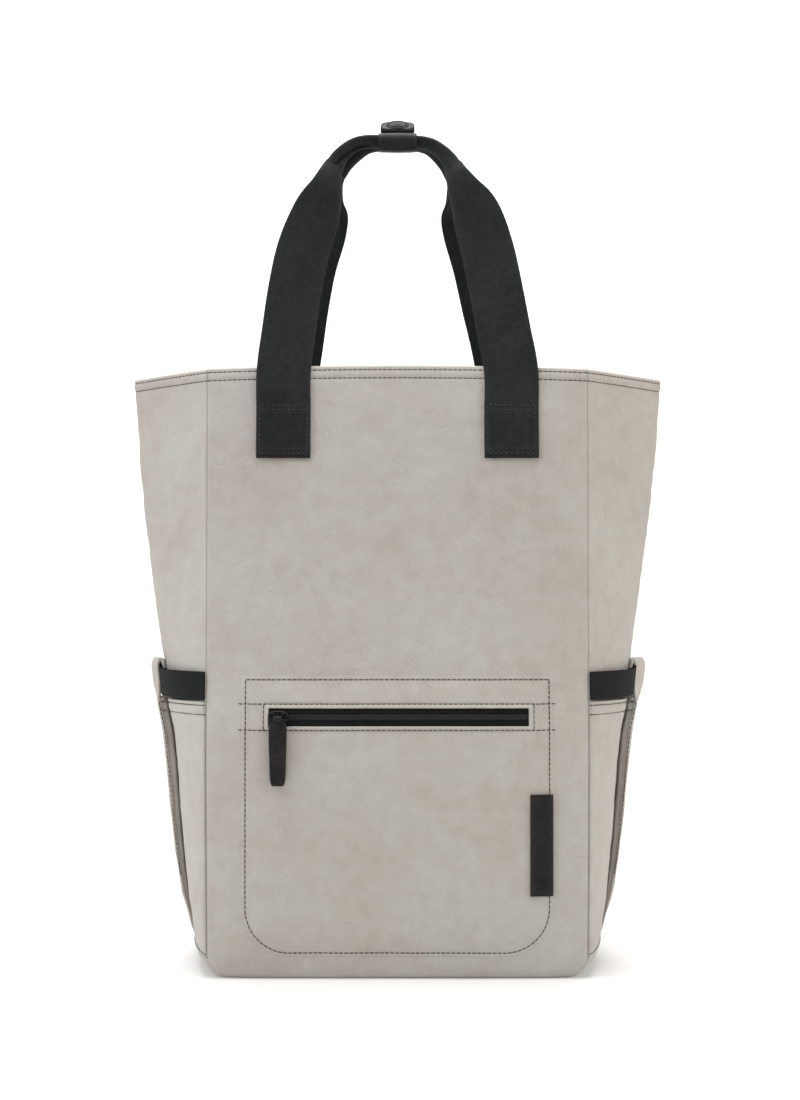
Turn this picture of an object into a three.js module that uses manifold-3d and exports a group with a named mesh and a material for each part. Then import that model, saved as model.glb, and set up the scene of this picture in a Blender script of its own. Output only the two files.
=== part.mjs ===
import * as THREE from "three";
import { mergeVertices } from "three/addons/utils/BufferGeometryUtils.js";
import Module from "manifold-3d";

const wasm = await Module();
wasm.setup();

// Driving dimensions in millimetres. The bag stands on z = 0, its front faces -Y and its width runs along X.
const GAP = 0.3; // clearance that sewn neighbours keep

const BODY = {
  height: 422, // rim of the front and back panels above the floor
  creaseDrop: 3.4, // how much lower the rim lies at the gusset creases
  halfWidthBase: 131, // centre to seam of the front panel
  halfWidthRim: 133.5,
  gussetHalf: 75, // seam to crease, measured along the cloth
  wall: 4, // padded wall
  edgeRadius: 16, // rounding from the walls into the base
  bulge: 5, // swell of the front and back panels
  bulgePower: 8, // a higher power keeps the middle of a panel flatter
  columns: 10,
  edgeRows: 4,
  wallRows: 15,
};

// The gusset stands out from the seams by its flare at the crease. Round 0 is a sharp V, 1 is a full bow.
const GUSSET_STATIONS = [
  { z: 0, flare: 15, round: 1 },
  { z: 60, flare: 15.5, round: 1 },
  { z: 120, flare: 17.5, round: 1 },
  { z: 160, flare: 22, round: 0.9 },
  { z: 185, flare: 29.5, round: 0.75 },
  { z: 205, flare: 36, round: 0.6 },
  { z: 240, flare: 41, round: 0.4 },
  { z: 330, flare: 51.5, round: 0.2 },
  { z: 422, flare: 59, round: 0.08 },
];

const FRONT_POCKET = {
  halfWidth: 108.5,
  bottom: 11.5,
  top: 206.5,
  cornerRadius: 33,
  wall: 1.6,
  seat: 0.5, // clearance to the panel, which also curves into the base
  cornerRows: 6,
  upperRows: 7,
};

const ZIP = {
  left: -88,
  right: 90,
  bottom: 173,
  top: 184.8,
  tape: 0.9, // thickness of the tape
  teeth: 1.7, // height of the row of teeth
  teethWidth: 3.6,
};

const SLIDER = {
  x: -81.5,
  z: 179,
  length: 14,
  width: 9,
  plate: 2.4,
  standoff: 2.3, // clear of the teeth
  bailReach: 3, // bar of the bail in front of the plate
  bailHalf: 5.8,
  wire: 0.9, // radius of the bail
  bailDrop: 1.5, // bar of the bail below the middle of the plate
};

const PULL = {
  width: 12.6,
  length: 44,
  thickness: 2.6,
  neck: 6, // width of the loop on the bail
  loopWall: 1.3,
  loopClearance: 0.4,
  corner: 3.2,
};

const LABEL = { left: 90.7, right: 106.6, bottom: 56.4, top: 126.1, wall: 1.5 };

const WEBBING = { width: 38, thickness: 2, sewnFrom: 358.5, spread: 79.6, columns: 9 };

// One leg of a handle, from the rim to the middle of the arch: distance from the middle of the bag, height,
// distance in front of the middle plane, and how far the webbing is rolled lengthwise, in degrees.
const HANDLE_STATIONS = [
  { x: 75.6, z: 449, depth: 46, roll: 4 },
  { x: 71.8, z: 477, depth: 41.5, roll: 10 },
  { x: 66.6, z: 506, depth: 35, roll: 22 },
  { x: 59.4, z: 536, depth: 26, roll: 70 },
  { x: 48.6, z: 563, depth: 16.5, roll: 190 },
  { x: 37.5, z: 579, depth: 11, roll: 300 },
  { x: 23.5, z: 588.6, depth: 8.4, roll: 385 },
  { x: 12, z: 590.6, depth: 8, roll: 400 },
];
const HANDLE = { steps: 2, topZ: 590.8, topDepth: 8, topRoll: 400, tighten: 0.45, flatten: 0.22 };

const WRAP = {
  length: 27.7, // along the handles
  leather: 1.4,
  halfDepth: 17, // of the space for the two rolled handles
  halfHeight: 5.9,
  tabLength: 24.8,
  tabDepth: 17,
  tabHeight: 6,
};
const SNAP = { radius: 8.2, height: 3.4, rings: 5, sides: 20 };

const SIDE_POCKET = {
  bottom: 14,
  top: 190,
  creaseDrop: 3, // how much lower the hem lies at the crease
  seat: 0.6,
  wall: 1.8,
  rows: 9,
  fold: 0.8, // half width of a pleat's fold
  fullnessPower: 2.5,
};

// Space between the gusset and the pocket at the crease, and the pleat there: half its opening and its depth.
const SIDE_POCKET_STATIONS = [
  { z: 14, slack: 0.2, pleatHalf: 2.5, pleatDepth: 0.1 },
  { z: 30, slack: 3.9, pleatHalf: 3.2, pleatDepth: 0.8 },
  { z: 50, slack: 8.5, pleatHalf: 4, pleatDepth: 1.4 },
  { z: 100, slack: 13.2, pleatHalf: 6.2, pleatDepth: 2.8 },
  { z: 150, slack: 14.2, pleatHalf: 8.2, pleatDepth: 4 },
  { z: 190, slack: 8.8, pleatHalf: 10, pleatDepth: 4.4 },
];
// Share of the way from the seam to the pleat at which the pocket's cloth is sampled.
const POCKET_SHARES = [0, 0.25, 0.5, 0.75, 0.92, 1];

const ELASTIC = { bottom: 191, top: 210.5, creaseDrop: 2, seat: 0.7, wall: 1.6, columns: 14 };

const LOOP = {
  width: 14,
  wall: 2.2,
  clearance: 0.6,
  bottom: 178,
  hem: 186, // where it leaves the pleat
  reach: 177.4, // how far it stands out from the middle of the bag
  reachZ: 211,
  top: 216.4,
  steps: 14,
};

const STRAP = { padding: 7, buckleFrom: 0.66, buckleTo: 0.72, steps: 14 };
const STRAP_WEBBING = { width: 25, thickness: 1.8, steps: 7 };

// One shoulder strap down the back: share of its way, distance from the middle, height, how far it stands
// off the back panel, and its width.
const STRAP_STATIONS = [
  { way: 0, x: 31, z: 402, stand: 0, width: 52 },
  { way: 0.08, x: 32, z: 376, stand: 1, width: 54 },
  { way: 0.2, x: 39, z: 336, stand: 17, width: 56 },
  { way: 0.35, x: 54, z: 282, stand: 31, width: 56 },
  { way: 0.5, x: 72, z: 226, stand: 34, width: 54 },
  { way: 0.66, x: 86, z: 166, stand: 27, width: 44 },
  { way: 0.84, x: 100, z: 98, stand: 12, width: 40 },
  { way: 1, x: 112, z: 40, stand: 0, width: 40 },
];
const BUCKLE = { width: 34, length: 17, plate: 4.6, slotWidth: 26.5, slot: 3.4, bar: 3.2, corner: 3 };

const FINISHES = {
  cloth: { color: 0xbcb4aa, roughness: 0.85, metalness: 0 },
  webbing: { color: 0x2b2f2f, roughness: 0.8, metalness: 0 },
  elastic: { color: 0x26292a, roughness: 0.75, metalness: 0 },
  leather: { color: 0x302d2c, roughness: 0.55, metalness: 0 },
  zip: { color: 0x1e2022, roughness: 0.65, metalness: 0 },
  gunmetal: { color: 0x2a2c2f, roughness: 0.3, metalness: 0.9 },
  plastic: { color: 0x1f2021, roughness: 0.5, metalness: 0 },
};

const { clamp, degToRad, lerp } = THREE.MathUtils;
const UP = new THREE.Vector3(0, 0, 1);
const BACKWARD = new THREE.Vector3(0, 1, 0);

// Tables

/** Slope of one column of a table at row i, from the rows on both sides of it. */
function slopeAt(rows, key, column, i) {
  const before = rows[Math.max(i - 1, 0)];
  const after = rows[Math.min(i + 1, rows.length - 1)];
  return (after[column] - before[column]) / (after[key] - before[key]);
}

/** Value of one column of a table where its key column has the given value, on a smooth curve. */
function tableAt(rows, key, column, value) {
  let i = 0;
  while (i < rows.length - 2 && rows[i + 1][key] < value) i += 1;
  const span = rows[i + 1][key] - rows[i][key];
  const t = clamp((value - rows[i][key]) / span, 0, 1);
  const rise = rows[i + 1][column] - rows[i][column];
  const start = slopeAt(rows, key, column, i) * span;
  const end = slopeAt(rows, key, column, i + 1) * span;
  const bend = t * (1 - t) * ((1 - t) * (start - rise) - t * (end - rise));
  return rows[i][column] + rise * t + bend;
}

// Solids

/** Geometry of a closed mesh whose faces are turned to point outwards. */
function closedGeometry(points, triangles) {
  let volume = 0;
  for (const [a, b, c] of triangles) {
    volume += points[a].dot(points[b].clone().cross(points[c]));
  }
  const index = triangles.flatMap(([a, b, c]) => (volume < 0 ? [a, c, b] : [a, b, c]));
  return new THREE.BufferGeometry().setFromPoints(points).setIndex(index);
}

/** Closed wall between two grids of points, given as functions of the column and the row. */
function wallBetween(columns, rows, outer, inner) {
  const points = [];
  for (const side of [outer, inner]) {
    for (let j = 0; j <= rows; j += 1) {
      for (let i = 0; i <= columns; i += 1) points.push(side(i, j));
    }
  }
  const layer = (columns + 1) * (rows + 1);
  const at = (i, j) => j * (columns + 1) + i;
  const triangles = [];
  const edge = (p, q) => triangles.push([p, q, q + layer], [p, q + layer, p + layer]);
  for (let j = 0; j < rows; j += 1) {
    for (let i = 0; i < columns; i += 1) {
      const [a, b, c, d] = [at(i, j), at(i + 1, j), at(i + 1, j + 1), at(i, j + 1)];
      triangles.push([a, b, c], [a, c, d]);
      triangles.push([a + layer, c + layer, b + layer], [a + layer, d + layer, c + layer]);
    }
  }
  for (let i = 0; i < columns; i += 1) {
    edge(at(i + 1, 0), at(i, 0));
    edge(at(i, rows), at(i + 1, rows));
  }
  for (let j = 0; j < rows; j += 1) {
    edge(at(0, j), at(0, j + 1));
    edge(at(columns, j + 1), at(columns, j));
  }
  return closedGeometry(points, triangles);
}

/** Solid for joining and cutting, from a closed geometry. */
function solidOf(geometry) {
  const bare = geometry.clone();
  bare.deleteAttribute("normal");
  bare.deleteAttribute("uv");
  const merged = mergeVertices(bare, 1e-3);
  const vertProperties = merged.getAttribute("position").array;
  const triVerts = new Uint32Array(merged.index.array);
  return new wasm.Manifold(new wasm.Mesh({ numProp: 3, vertProperties, triVerts }));
}

/** Geometry of a joined or cut solid. */
function geometryOf(solid) {
  const mesh = solid.getMesh();
  const geometry = new THREE.BufferGeometry();
  geometry.setAttribute("position", new THREE.BufferAttribute(mesh.vertProperties, 3));
  return geometry.setIndex(new THREE.BufferAttribute(mesh.triVerts, 1));
}

/** Rounded rectangle about the origin. */
function roundedRectangle(width, height, radius) {
  const [x, y] = [width / 2 - radius, height / 2 - radius];
  const shape = new THREE.Shape();
  shape.absarc(x, y, radius, 0, Math.PI / 2);
  shape.absarc(-x, y, radius, Math.PI / 2, Math.PI);
  shape.absarc(-x, -y, radius, Math.PI, 1.5 * Math.PI);
  shape.absarc(x, -y, radius, 1.5 * Math.PI, 2 * Math.PI);
  shape.closePath();
  return shape;
}

/** Extruded plate, centred on its own thickness. */
function plate(shape, thickness, curveSegments) {
  const geometry = new THREE.ExtrudeGeometry(shape, { depth: thickness, bevelEnabled: false, curveSegments });
  return geometry.translate(0, 0, -thickness / 2);
}

/** Named mesh with a finish of its own. */
function piece(name, geometry, finish) {
  const mesh = new THREE.Mesh(geometry, new THREE.MeshStandardMaterial(FINISHES[finish]));
  mesh.name = name;
  return mesh;
}

// The form of the body, which every sewn-on piece follows

const halfWidth = (z) => lerp(BODY.halfWidthBase, BODY.halfWidthRim, z / BODY.height);
const flare = (z) => tableAt(GUSSET_STATIONS, "z", "flare", z);
const halfDepth = (z) => Math.sqrt(BODY.gussetHalf ** 2 - flare(z) ** 2);

/** Swell of a panel at a share u of its half width, strongest halfway up. */
function swell(u, z) {
  const upright = Math.sin(Math.PI * (0.15 + (0.7 * z) / BODY.height));
  return BODY.bulge * upright * (1 - Math.abs(u) ** BODY.bulgePower);
}

/** Level of the body at height z: how far the rounded bottom edge draws it in, and which way it faces. */
function level(z) {
  const radius = BODY.edgeRadius;
  const turn = z < radius ? Math.acos(1 - z / radius) : Math.PI / 2;
  return { z, inset: radius * (1 - Math.sin(turn)), out: Math.sin(turn), down: Math.cos(turn) };
}

/** Outline of the front panel in plan, with u from -1 at its left seam to 1 at its right seam. */
function frontPlan(u, { z, inset }) {
  return new THREE.Vector2((halfWidth(z) - inset) * u, inset - halfDepth(z) - swell(u, z));
}

/** Outline of the right gusset in plan, with s from -1 at the front seam over 0 at the crease to 1. */
function gussetPlan(s, { z, inset }) {
  const round = tableAt(GUSSET_STATIONS, "z", "round", z);
  const vee = lerp(1 - Math.abs(s), 1 - s * s, round);
  return new THREE.Vector2(halfWidth(z) - inset + flare(z) * vee, (halfDepth(z) - inset) * s);
}

/** Outward normal of a plan outline. */
function planNormal(plan, p, at) {
  const step = 1e-3;
  const along = plan(Math.min(p + step, 1), at).sub(plan(Math.max(p - step, -1), at)).normalize();
  return new THREE.Vector2(along.y, -along.x);
}

/** Offset direction at the front right seam that gives both panels their full thickness. */
function seamMitre(at) {
  const front = planNormal(frontPlan, 1, at);
  const side = planNormal(gussetPlan, -1, at);
  return front.clone().add(side).divideScalar(1 + front.dot(side));
}

/** Point of an outline at a level, moved off the cloth by a distance along the given direction. */
function offCloth(plan, p, at, distance, direction = planNormal(plan, p, at)) {
  const spot = plan(p, at).addScaledVector(direction, distance * at.out);
  return new THREE.Vector3(spot.x, spot.y, at.z - distance * at.down);
}

/** Point in front of the front panel, at a place x and height z. */
function offFront(x, z, distance) {
  const at = level(z);
  return offCloth(frontPlan, x / (halfWidth(z) - at.inset), at, distance);
}

/** Angle by which the front panel leans back at height z. */
function frontLean(z) {
  const reach = 5;
  const rise = offFront(0, z + reach, 0).sub(offFront(0, z - reach, 0));
  return Math.atan2(rise.y, rise.z);
}

// Body panels

/** Heights of a wall's rows: the rounded bottom edge, then even rows up to the rim. */
function wallHeight(row, top) {
  const { edgeRadius, edgeRows, wallRows } = BODY;
  if (row <= edgeRows) return edgeRadius * (1 - Math.cos((row / edgeRows) * (Math.PI / 2)));
  return lerp(edgeRadius, top, (row - edgeRows) / wallRows);
}

/** Padded wall on an outline, mitred at both seams. The flip axis mirrors the seam at the far end. */
function wallPanel(plan, halfLength, share, topAt, flip) {
  const { columns, edgeRows, wallRows } = BODY;
  const limit = 1 - GAP / halfLength;
  const point = (distance) => (i, j) => {
    const p = limit * share((2 * i) / columns - 1);
    const at = level(wallHeight(j, topAt(p)));
    if (i > 0 && i < columns) return offCloth(plan, p, at, distance);
    const mitre = seamMitre(at);
    return offCloth(plan, p, at, distance, (i === 0) === (flip === "x") ? flipped(mitre, flip) : mitre);
  };
  return wallBetween(columns, edgeRows + wallRows, point(0), point(-BODY.wall));
}

/** Plan direction mirrored along one axis. */
function flipped(direction, axis) {
  const mirror = direction.clone();
  mirror[axis] *= -1;
  return mirror;
}

/** Front panel: its columns crowd towards the seams, where it curves most. */
function frontPanel() {
  const share = (t) => Math.sin((t * Math.PI) / 2);
  return wallPanel(frontPlan, BODY.halfWidthBase, share, () => BODY.height, "x");
}

/** Right gusset, with its rim lower at the crease. */
function sideGusset() {
  const top = (s) => BODY.height - BODY.creaseDrop * (1 - Math.abs(s));
  return wallPanel(gussetPlan, BODY.gussetHalf, (t) => t, top, "y");
}

/** Flat base panel inside the rounded bottom edge of the walls. */
function basePanel() {
  const at = level(0);
  const { columns } = BODY;
  const quarter = [];
  for (let i = 1; i < columns; i += 1) {
    const u = Math.sin(((2 * i) / columns - 1) * (Math.PI / 2));
    quarter.push(frontPlan(u, at).addScaledVector(planNormal(frontPlan, u, at), -GAP));
  }
  const mitre = seamMitre(at);
  quarter.push(gussetPlan(-1, at).addScaledVector(mitre, -GAP));
  for (let i = 1; i < columns; i += 1) {
    const s = (2 * i) / columns - 1;
    quarter.push(gussetPlan(s, at).addScaledVector(planNormal(gussetPlan, s, at), -GAP));
  }
  quarter.push(gussetPlan(1, at).addScaledVector(flipped(mitre, "y"), -GAP));
  const outline = [...quarter, ...quarter.map((spot) => spot.clone().negate())];
  return new THREE.ExtrudeGeometry(new THREE.Shape(outline), { depth: BODY.wall, bevelEnabled: false });
}

// Front pocket, zip and label

/** Patch pocket with round lower corners and a slot for the zip. */
function frontPocket() {
  const { bottom, top, cornerRadius, cornerRows, upperRows, wall, seat } = FRONT_POCKET;
  const place = (distance) => (i, j) => {
    const turn = Math.min(j / cornerRows, 1) * (Math.PI / 2);
    const corner = bottom + cornerRadius * (1 - Math.cos(turn));
    const z = j <= cornerRows ? corner : lerp(corner, top, (j - cornerRows) / upperRows);
    const half = FRONT_POCKET.halfWidth - cornerRadius * (1 - Math.sin(turn));
    return offFront(half * ((2 * i) / BODY.columns - 1), z, distance);
  };
  const patch = wallBetween(BODY.columns, cornerRows + upperRows, place(seat + wall), place(seat));
  const cutDepth = 30;
  const slot = new THREE.BoxGeometry(ZIP.right - ZIP.left, cutDepth, ZIP.top - ZIP.bottom);
  const middle = offFront(0, (ZIP.top + ZIP.bottom) / 2, 0);
  slot.translate((ZIP.left + ZIP.right) / 2, middle.y, middle.z);
  return geometryOf(solidOf(patch).subtract(solidOf(slot)));
}

/** Zip in the slot of the pocket: a flat tape with a raised row of teeth along its middle. */
function zipTape() {
  const middle = (ZIP.bottom + ZIP.top) / 2;
  const half = ZIP.teethWidth / 2;
  const profile = [
    { z: ZIP.bottom + GAP, height: ZIP.tape },
    { z: middle - half - GAP, height: ZIP.tape },
    { z: middle - half, height: ZIP.teeth },
    { z: middle + half, height: ZIP.teeth },
    { z: middle + half + GAP, height: ZIP.tape },
    { z: ZIP.top - GAP, height: ZIP.tape },
  ];
  const columns = 6;
  const x = (i) => lerp(ZIP.left + GAP, ZIP.right - GAP, i / columns);
  const face = (i, j) => offFront(x(i), profile[j].z, GAP + profile[j].height);
  const back = (i, j) => offFront(x(i), profile[j].z, GAP);
  return wallBetween(columns, profile.length - 1, face, back);
}

/** Slider plate with the wire bail that carries the pull. Y is the way into the cloth. */
function zipSlider() {
  const { length, width, plate: thickness, bailReach, bailHalf, wire, bailDrop } = SLIDER;
  const body = plate(roundedRectangle(length, width, width / 3), thickness, 3).rotateX(Math.PI / 2);
  const front = -thickness / 2 - bailReach;
  const corner = 1.2;
  const bend = (x, y) => new THREE.Vector3(x, y, -bailDrop);
  const half = [bend(bailHalf, 0), bend(bailHalf, front + corner), bend(bailHalf - corner, front)];
  const otherHalf = half.map((point) => bend(-point.x, point.y)).reverse();
  const straight = 0; // tension of the curve: straight runs between its points
  const bail = new THREE.CatmullRomCurve3([...half, ...otherHalf], false, "catmullrom", straight);
  const section = new THREE.Shape().absarc(0, 0, wire, 0, 2 * Math.PI);
  const tube = new THREE.ExtrudeGeometry(section, { steps: 11, curveSegments: 3, extrudePath: bail });
  return geometryOf(solidOf(body).add(solidOf(tube)));
}

/** Zip pull about the bar of the bail: a loop, and below it a flat strip with round corners. */
function zipPull() {
  const { width, length, thickness, neck, loopWall, loopClearance, corner } = PULL;
  const inner = SLIDER.wire + loopClearance;
  const ring = new THREE.Shape().absarc(0, 0, inner + loopWall, 0, 2 * Math.PI);
  ring.holes.push(new THREE.Path().absarc(0, 0, inner, 0, 2 * Math.PI));
  const loop = plate(ring, neck, 7).rotateY(Math.PI / 2);
  const strip = plate(roundedRectangle(width, length, corner), thickness, 4).rotateX(Math.PI / 2);
  strip.translate(0, 0, -inner - length / 2 - GAP);
  return geometryOf(solidOf(loop).add(solidOf(strip)));
}

/** Slider and pull in a group that leans as the front panel does; the pull hangs plumb. */
function zipRunner() {
  const { x, z, standoff, plate: thickness, bailReach, bailDrop } = SLIDER;
  const lean = frontLean(z);
  const runner = new THREE.Group();
  runner.position.copy(offFront(x, z, standoff + thickness / 2));
  runner.rotation.x = -lean;
  const pull = piece("zip_pull", zipPull(), "leather");
  pull.position.set(0, -thickness / 2 - bailReach, -bailDrop);
  pull.rotation.x = lean;
  return runner.add(piece("zip_slider", zipSlider(), "gunmetal"), pull);
}

/** Leather tab sewn on the front pocket. */
function labelTab() {
  const rows = 6;
  const seat = FRONT_POCKET.seat + FRONT_POCKET.wall + GAP;
  const place = (distance) => (i, j) =>
    offFront(lerp(LABEL.left, LABEL.right, i / 2), lerp(LABEL.bottom, LABEL.top, j / rows), distance);
  return wallBetween(2, rows, place(seat + LABEL.wall), place(seat));
}

// Handles

/** Webbing section rolled lengthwise, centred on its box: front and back points from edge to edge. */
function webbingSection(roll) {
  const { width, thickness, columns } = WEBBING;
  const angle = (s) => roll * lerp(s, s * s, HANDLE.tighten);
  const squash = 1 - HANDLE.flatten * Math.min(roll / degToRad(HANDLE.topRoll), 1);
  const spot = new THREE.Vector2();
  const front = [];
  const back = [];
  for (let i = 0; i <= columns; i += 1) {
    const turn = angle(i / columns);
    const normal = new THREE.Vector2(-Math.sin(turn), Math.cos(turn)).multiplyScalar(thickness / 2);
    front.push(spot.clone().sub(normal));
    back.push(spot.clone().add(normal));
    const ahead = angle((i + 0.5) / columns);
    spot.add(new THREE.Vector2(Math.cos(ahead), Math.sin(ahead)).multiplyScalar(width / columns));
  }
  const middle = new THREE.Box2().setFromPoints([...front, ...back]).getCenter(new THREE.Vector2());
  const place = (point) => point.sub(middle).multiply(new THREE.Vector2(squash, 1));
  return { front: front.map(place), back: back.map(place) };
}

/** Rows of a whole handle, from its left sewn end over the arch to its right sewn end. */
function handleRows() {
  const { sewnFrom, spread, thickness } = WEBBING;
  const onPanel = (z) => -offFront(spread, z, GAP + GAP + thickness / 2).y;
  const sewn = [sewnFrom, (sewnFrom + BODY.height) / 2, BODY.height - 2];
  const leg = [
    ...sewn.map((z) => ({ x: spread, z, depth: onPanel(z), roll: 0 })),
    ...HANDLE_STATIONS,
  ];
  const arch = { x: 0, z: HANDLE.topZ, depth: HANDLE.topDepth, roll: HANDLE.topRoll };
  const left = leg.map((row) => ({ ...row, x: -row.x }));
  const stations = [...left, arch, ...leg.reverse()].map((row, order) => ({ ...row, order }));
  const count = (stations.length - 1) * HANDLE.steps;
  return Array.from({ length: count + 1 }, (_, i) => {
    const read = (column) => tableAt(stations, "order", column, i / HANDLE.steps);
    return { spot: new THREE.Vector3(read("x"), -read("depth"), read("z")), roll: Math.max(read("roll"), 0) };
  });
}

/** Front handle: the rolled section carried along the rows, its face kept to the front. */
function handle() {
  const rows = handleRows();
  const frames = rows.map(({ spot, roll }, j) => {
    const before = rows[Math.max(j - 1, 0)].spot;
    const after = rows[Math.min(j + 1, rows.length - 1)].spot;
    const along = after.clone().sub(before).normalize();
    const across = BACKWARD.clone().cross(along).normalize();
    return { spot, across, behind: along.cross(across), section: webbingSection(degToRad(roll)) };
  });
  const place = (side) => (i, j) => {
    const { spot, across, behind, section } = frames[j];
    const point = section[side][i];
    return spot.clone().addScaledVector(across, point.x).addScaledVector(behind, point.y);
  };
  return wallBetween(WEBBING.columns, rows.length - 1, place("front"), place("back"));
}

/** Leather wrap round both rolled handles, with a raised tab on top. */
function handleWrap() {
  const { length, leather, halfDepth: depth, halfHeight: height, tabLength, tabDepth, tabHeight } = WRAP;
  const round = (wall) => roundedRectangle(2 * (depth + wall), 2 * (height + wall), height + wall - 0.5);
  const ring = round(leather);
  ring.holes.push(round(0));
  const sleeve = plate(ring, length, 4).rotateX(Math.PI / 2).rotateZ(Math.PI / 2);
  const sunk = leather / 2;
  const tab = plate(roundedRectangle(tabLength, tabDepth, 3), tabHeight + sunk, 3);
  tab.translate(0, 0, height + leather + (tabHeight - sunk) / 2);
  return geometryOf(solidOf(sleeve).add(solidOf(tab))).translate(0, 0, HANDLE.topZ);
}

/** Domed snap cap on the tab of the wrap. */
function wrapSnap() {
  const { radius, height, rings, sides } = SNAP;
  const profile = [new THREE.Vector2(0, 0)];
  for (let i = 0; i <= rings; i += 1) {
    const turn = (i / rings) * (Math.PI / 2);
    profile.push(new THREE.Vector2(radius * Math.cos(turn), height * (0.25 + 0.75 * Math.sin(turn))));
  }
  profile[1].y = 0;
  profile[profile.length - 1].x = 0;
  const seat = HANDLE.topZ + WRAP.halfHeight + WRAP.leather + WRAP.tabHeight + GAP;
  return new THREE.LatheGeometry(profile, sides).rotateX(Math.PI / 2).translate(0, 0, seat);
}

// Side pockets

/** Right side pocket: cloth over the gusset, slack towards the crease, with an open pleat there. */
function sidePocket() {
  const { bottom, top, creaseDrop, seat, wall, rows, fold, fullnessPower } = SIDE_POCKET;
  const shares = POCKET_SHARES.length;
  const columns = 2 * shares + 2;
  const place = (distance) => (i, j) => {
    const turned = Math.min(i, columns - i);
    const side = i <= columns / 2 ? -1 : 1;
    const even = lerp(bottom, top, j / rows);
    const read = (column) => tableAt(SIDE_POCKET_STATIONS, "z", column, even);
    const edge = (read("pleatHalf") + fold) / halfDepth(even);
    const inPleat = turned >= shares;
    const floor = turned === shares ? (read("pleatHalf") - fold) / halfDepth(even) : 0;
    const s = side * (inPleat ? floor : lerp(1, edge, POCKET_SHARES[turned]));
    const z = even - creaseDrop * (1 - Math.abs(s)) * (j / rows);
    const spot = gussetPlan(s, level(z));
    const fullness = read("slack") * (1 - Math.abs(s) ** fullnessPower);
    const recess = inPleat ? read("pleatDepth") : 0;
    return new THREE.Vector3(spot.x + seat + fullness - recess + distance, spot.y, z);
  };
  return wallBetween(columns, rows, place(wall), place(0));
}

/** Elastic band round the right gusset, just above the side pocket. */
function pocketElastic() {
  const { bottom, top, creaseDrop, seat, wall, columns } = ELASTIC;
  const limit = 1 - GAP / BODY.gussetHalf;
  const place = (distance) => (i, j) => {
    const s = limit * ((2 * i) / columns - 1);
    const z = lerp(bottom, top, j) - creaseDrop * (1 - Math.abs(s));
    return offCloth(gussetPlan, s, level(z), distance);
  };
  return wallBetween(columns, 1, place(seat + wall), place(seat));
}

/** Cloth loop at the right crease: up from the pleat, out over the elastic and back to the gusset. */
function pocketLoop() {
  const { width, wall, clearance, bottom, hem, reach, reachZ, top, steps } = LOOP;
  const half = wall / 2;
  const pleat = (z) => {
    const read = (column) => tableAt(SIDE_POCKET_STATIONS, "z", column, z + SIDE_POCKET.creaseDrop);
    const floor = SIDE_POCKET.seat + read("slack") - read("pleatDepth") + SIDE_POCKET.wall;
    return gussetPlan(0, level(z)).x + floor + clearance + half;
  };
  const gusset = gussetPlan(0, level(top)).x + GAP;
  const path = new THREE.CatmullRomCurve3(
    [
      new THREE.Vector3(pleat(bottom), 0, bottom),
      new THREE.Vector3(pleat(hem), 0, hem),
      new THREE.Vector3(reach, 0, reachZ - 5),
      new THREE.Vector3(reach, 0, reachZ),
      new THREE.Vector3((reach + gusset) / 2 + half, 0, top),
      new THREE.Vector3(gusset, 0, top - half),
    ],
    false,
    "centripetal",
  );
  const place = (distance) => (i, j) => {
    const along = path.getTangent(i / steps);
    const out = BACKWARD.clone().cross(along);
    const spot = path.getPoint(i / steps).addScaledVector(out, distance);
    return spot.setY(width * (j - 0.5));
  };
  return wallBetween(steps, 1, place(half), place(-half));
}

// Shoulder straps, plain, on the back panel

/** Place on the right shoulder strap's way: its middle, its directions and its width. */
function strapFrame(way) {
  const read = (column, share) => tableAt(STRAP_STATIONS, "way", column, share);
  const spotAt = (share) => {
    const [x, z] = [read("x", share), read("z", share)];
    return new THREE.Vector3(x, GAP - offFront(x, z, GAP + read("stand", share)).y, z);
  };
  const step = 0.01;
  const along = spotAt(Math.min(way + step, 1)).sub(spotAt(Math.max(way - step, 0))).normalize();
  const across = along.clone().cross(BACKWARD).normalize();
  return { spot: spotAt(way), along, across, out: across.clone().cross(along), width: read("width", way) };
}

/** Stretch of the strap's way as a flat strip of the given thickness, standing on its inner face. */
function strapStrip(from, to, steps, thickness, widthOf) {
  const columns = 2;
  const place = (distance) => (i, j) => {
    const { spot, across, out, width } = strapFrame(lerp(from, to, j / steps));
    const side = (i / columns - 0.5) * widthOf(width);
    return spot.clone().addScaledVector(across, side).addScaledVector(out, distance);
  };
  return wallBetween(columns, steps, place(thickness), place(0));
}

/** Plain buckle plate with two slots, between the padded strap and its webbing. */
function strapBuckle() {
  const { width, length, plate: thickness, slotWidth, slot, bar, corner } = BUCKLE;
  const shape = roundedRectangle(width, length, corner);
  for (const side of [-1, 1]) {
    const hole = roundedRectangle(slotWidth, slot, 1);
    const points = hole.getPoints(2).map((point) => point.setY(point.y + (side * (slot + bar)) / 2));
    shape.holes.push(new THREE.Path(points));
  }
  const { spot, along, across, out } = strapFrame((STRAP.buckleFrom + STRAP.buckleTo) / 2);
  const turn = new THREE.Matrix4().makeBasis(across, along, across.clone().cross(along));
  turn.setPosition(spot.addScaledVector(out, thickness / 2));
  return plate(shape, thickness, 3).applyMatrix4(turn);
}

// Assembly

/** Mesh turned half round the upright axis, to serve the opposite side of the bag. */
function turned(mesh) {
  mesh.rotateOnAxis(UP, Math.PI);
  return mesh;
}

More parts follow.
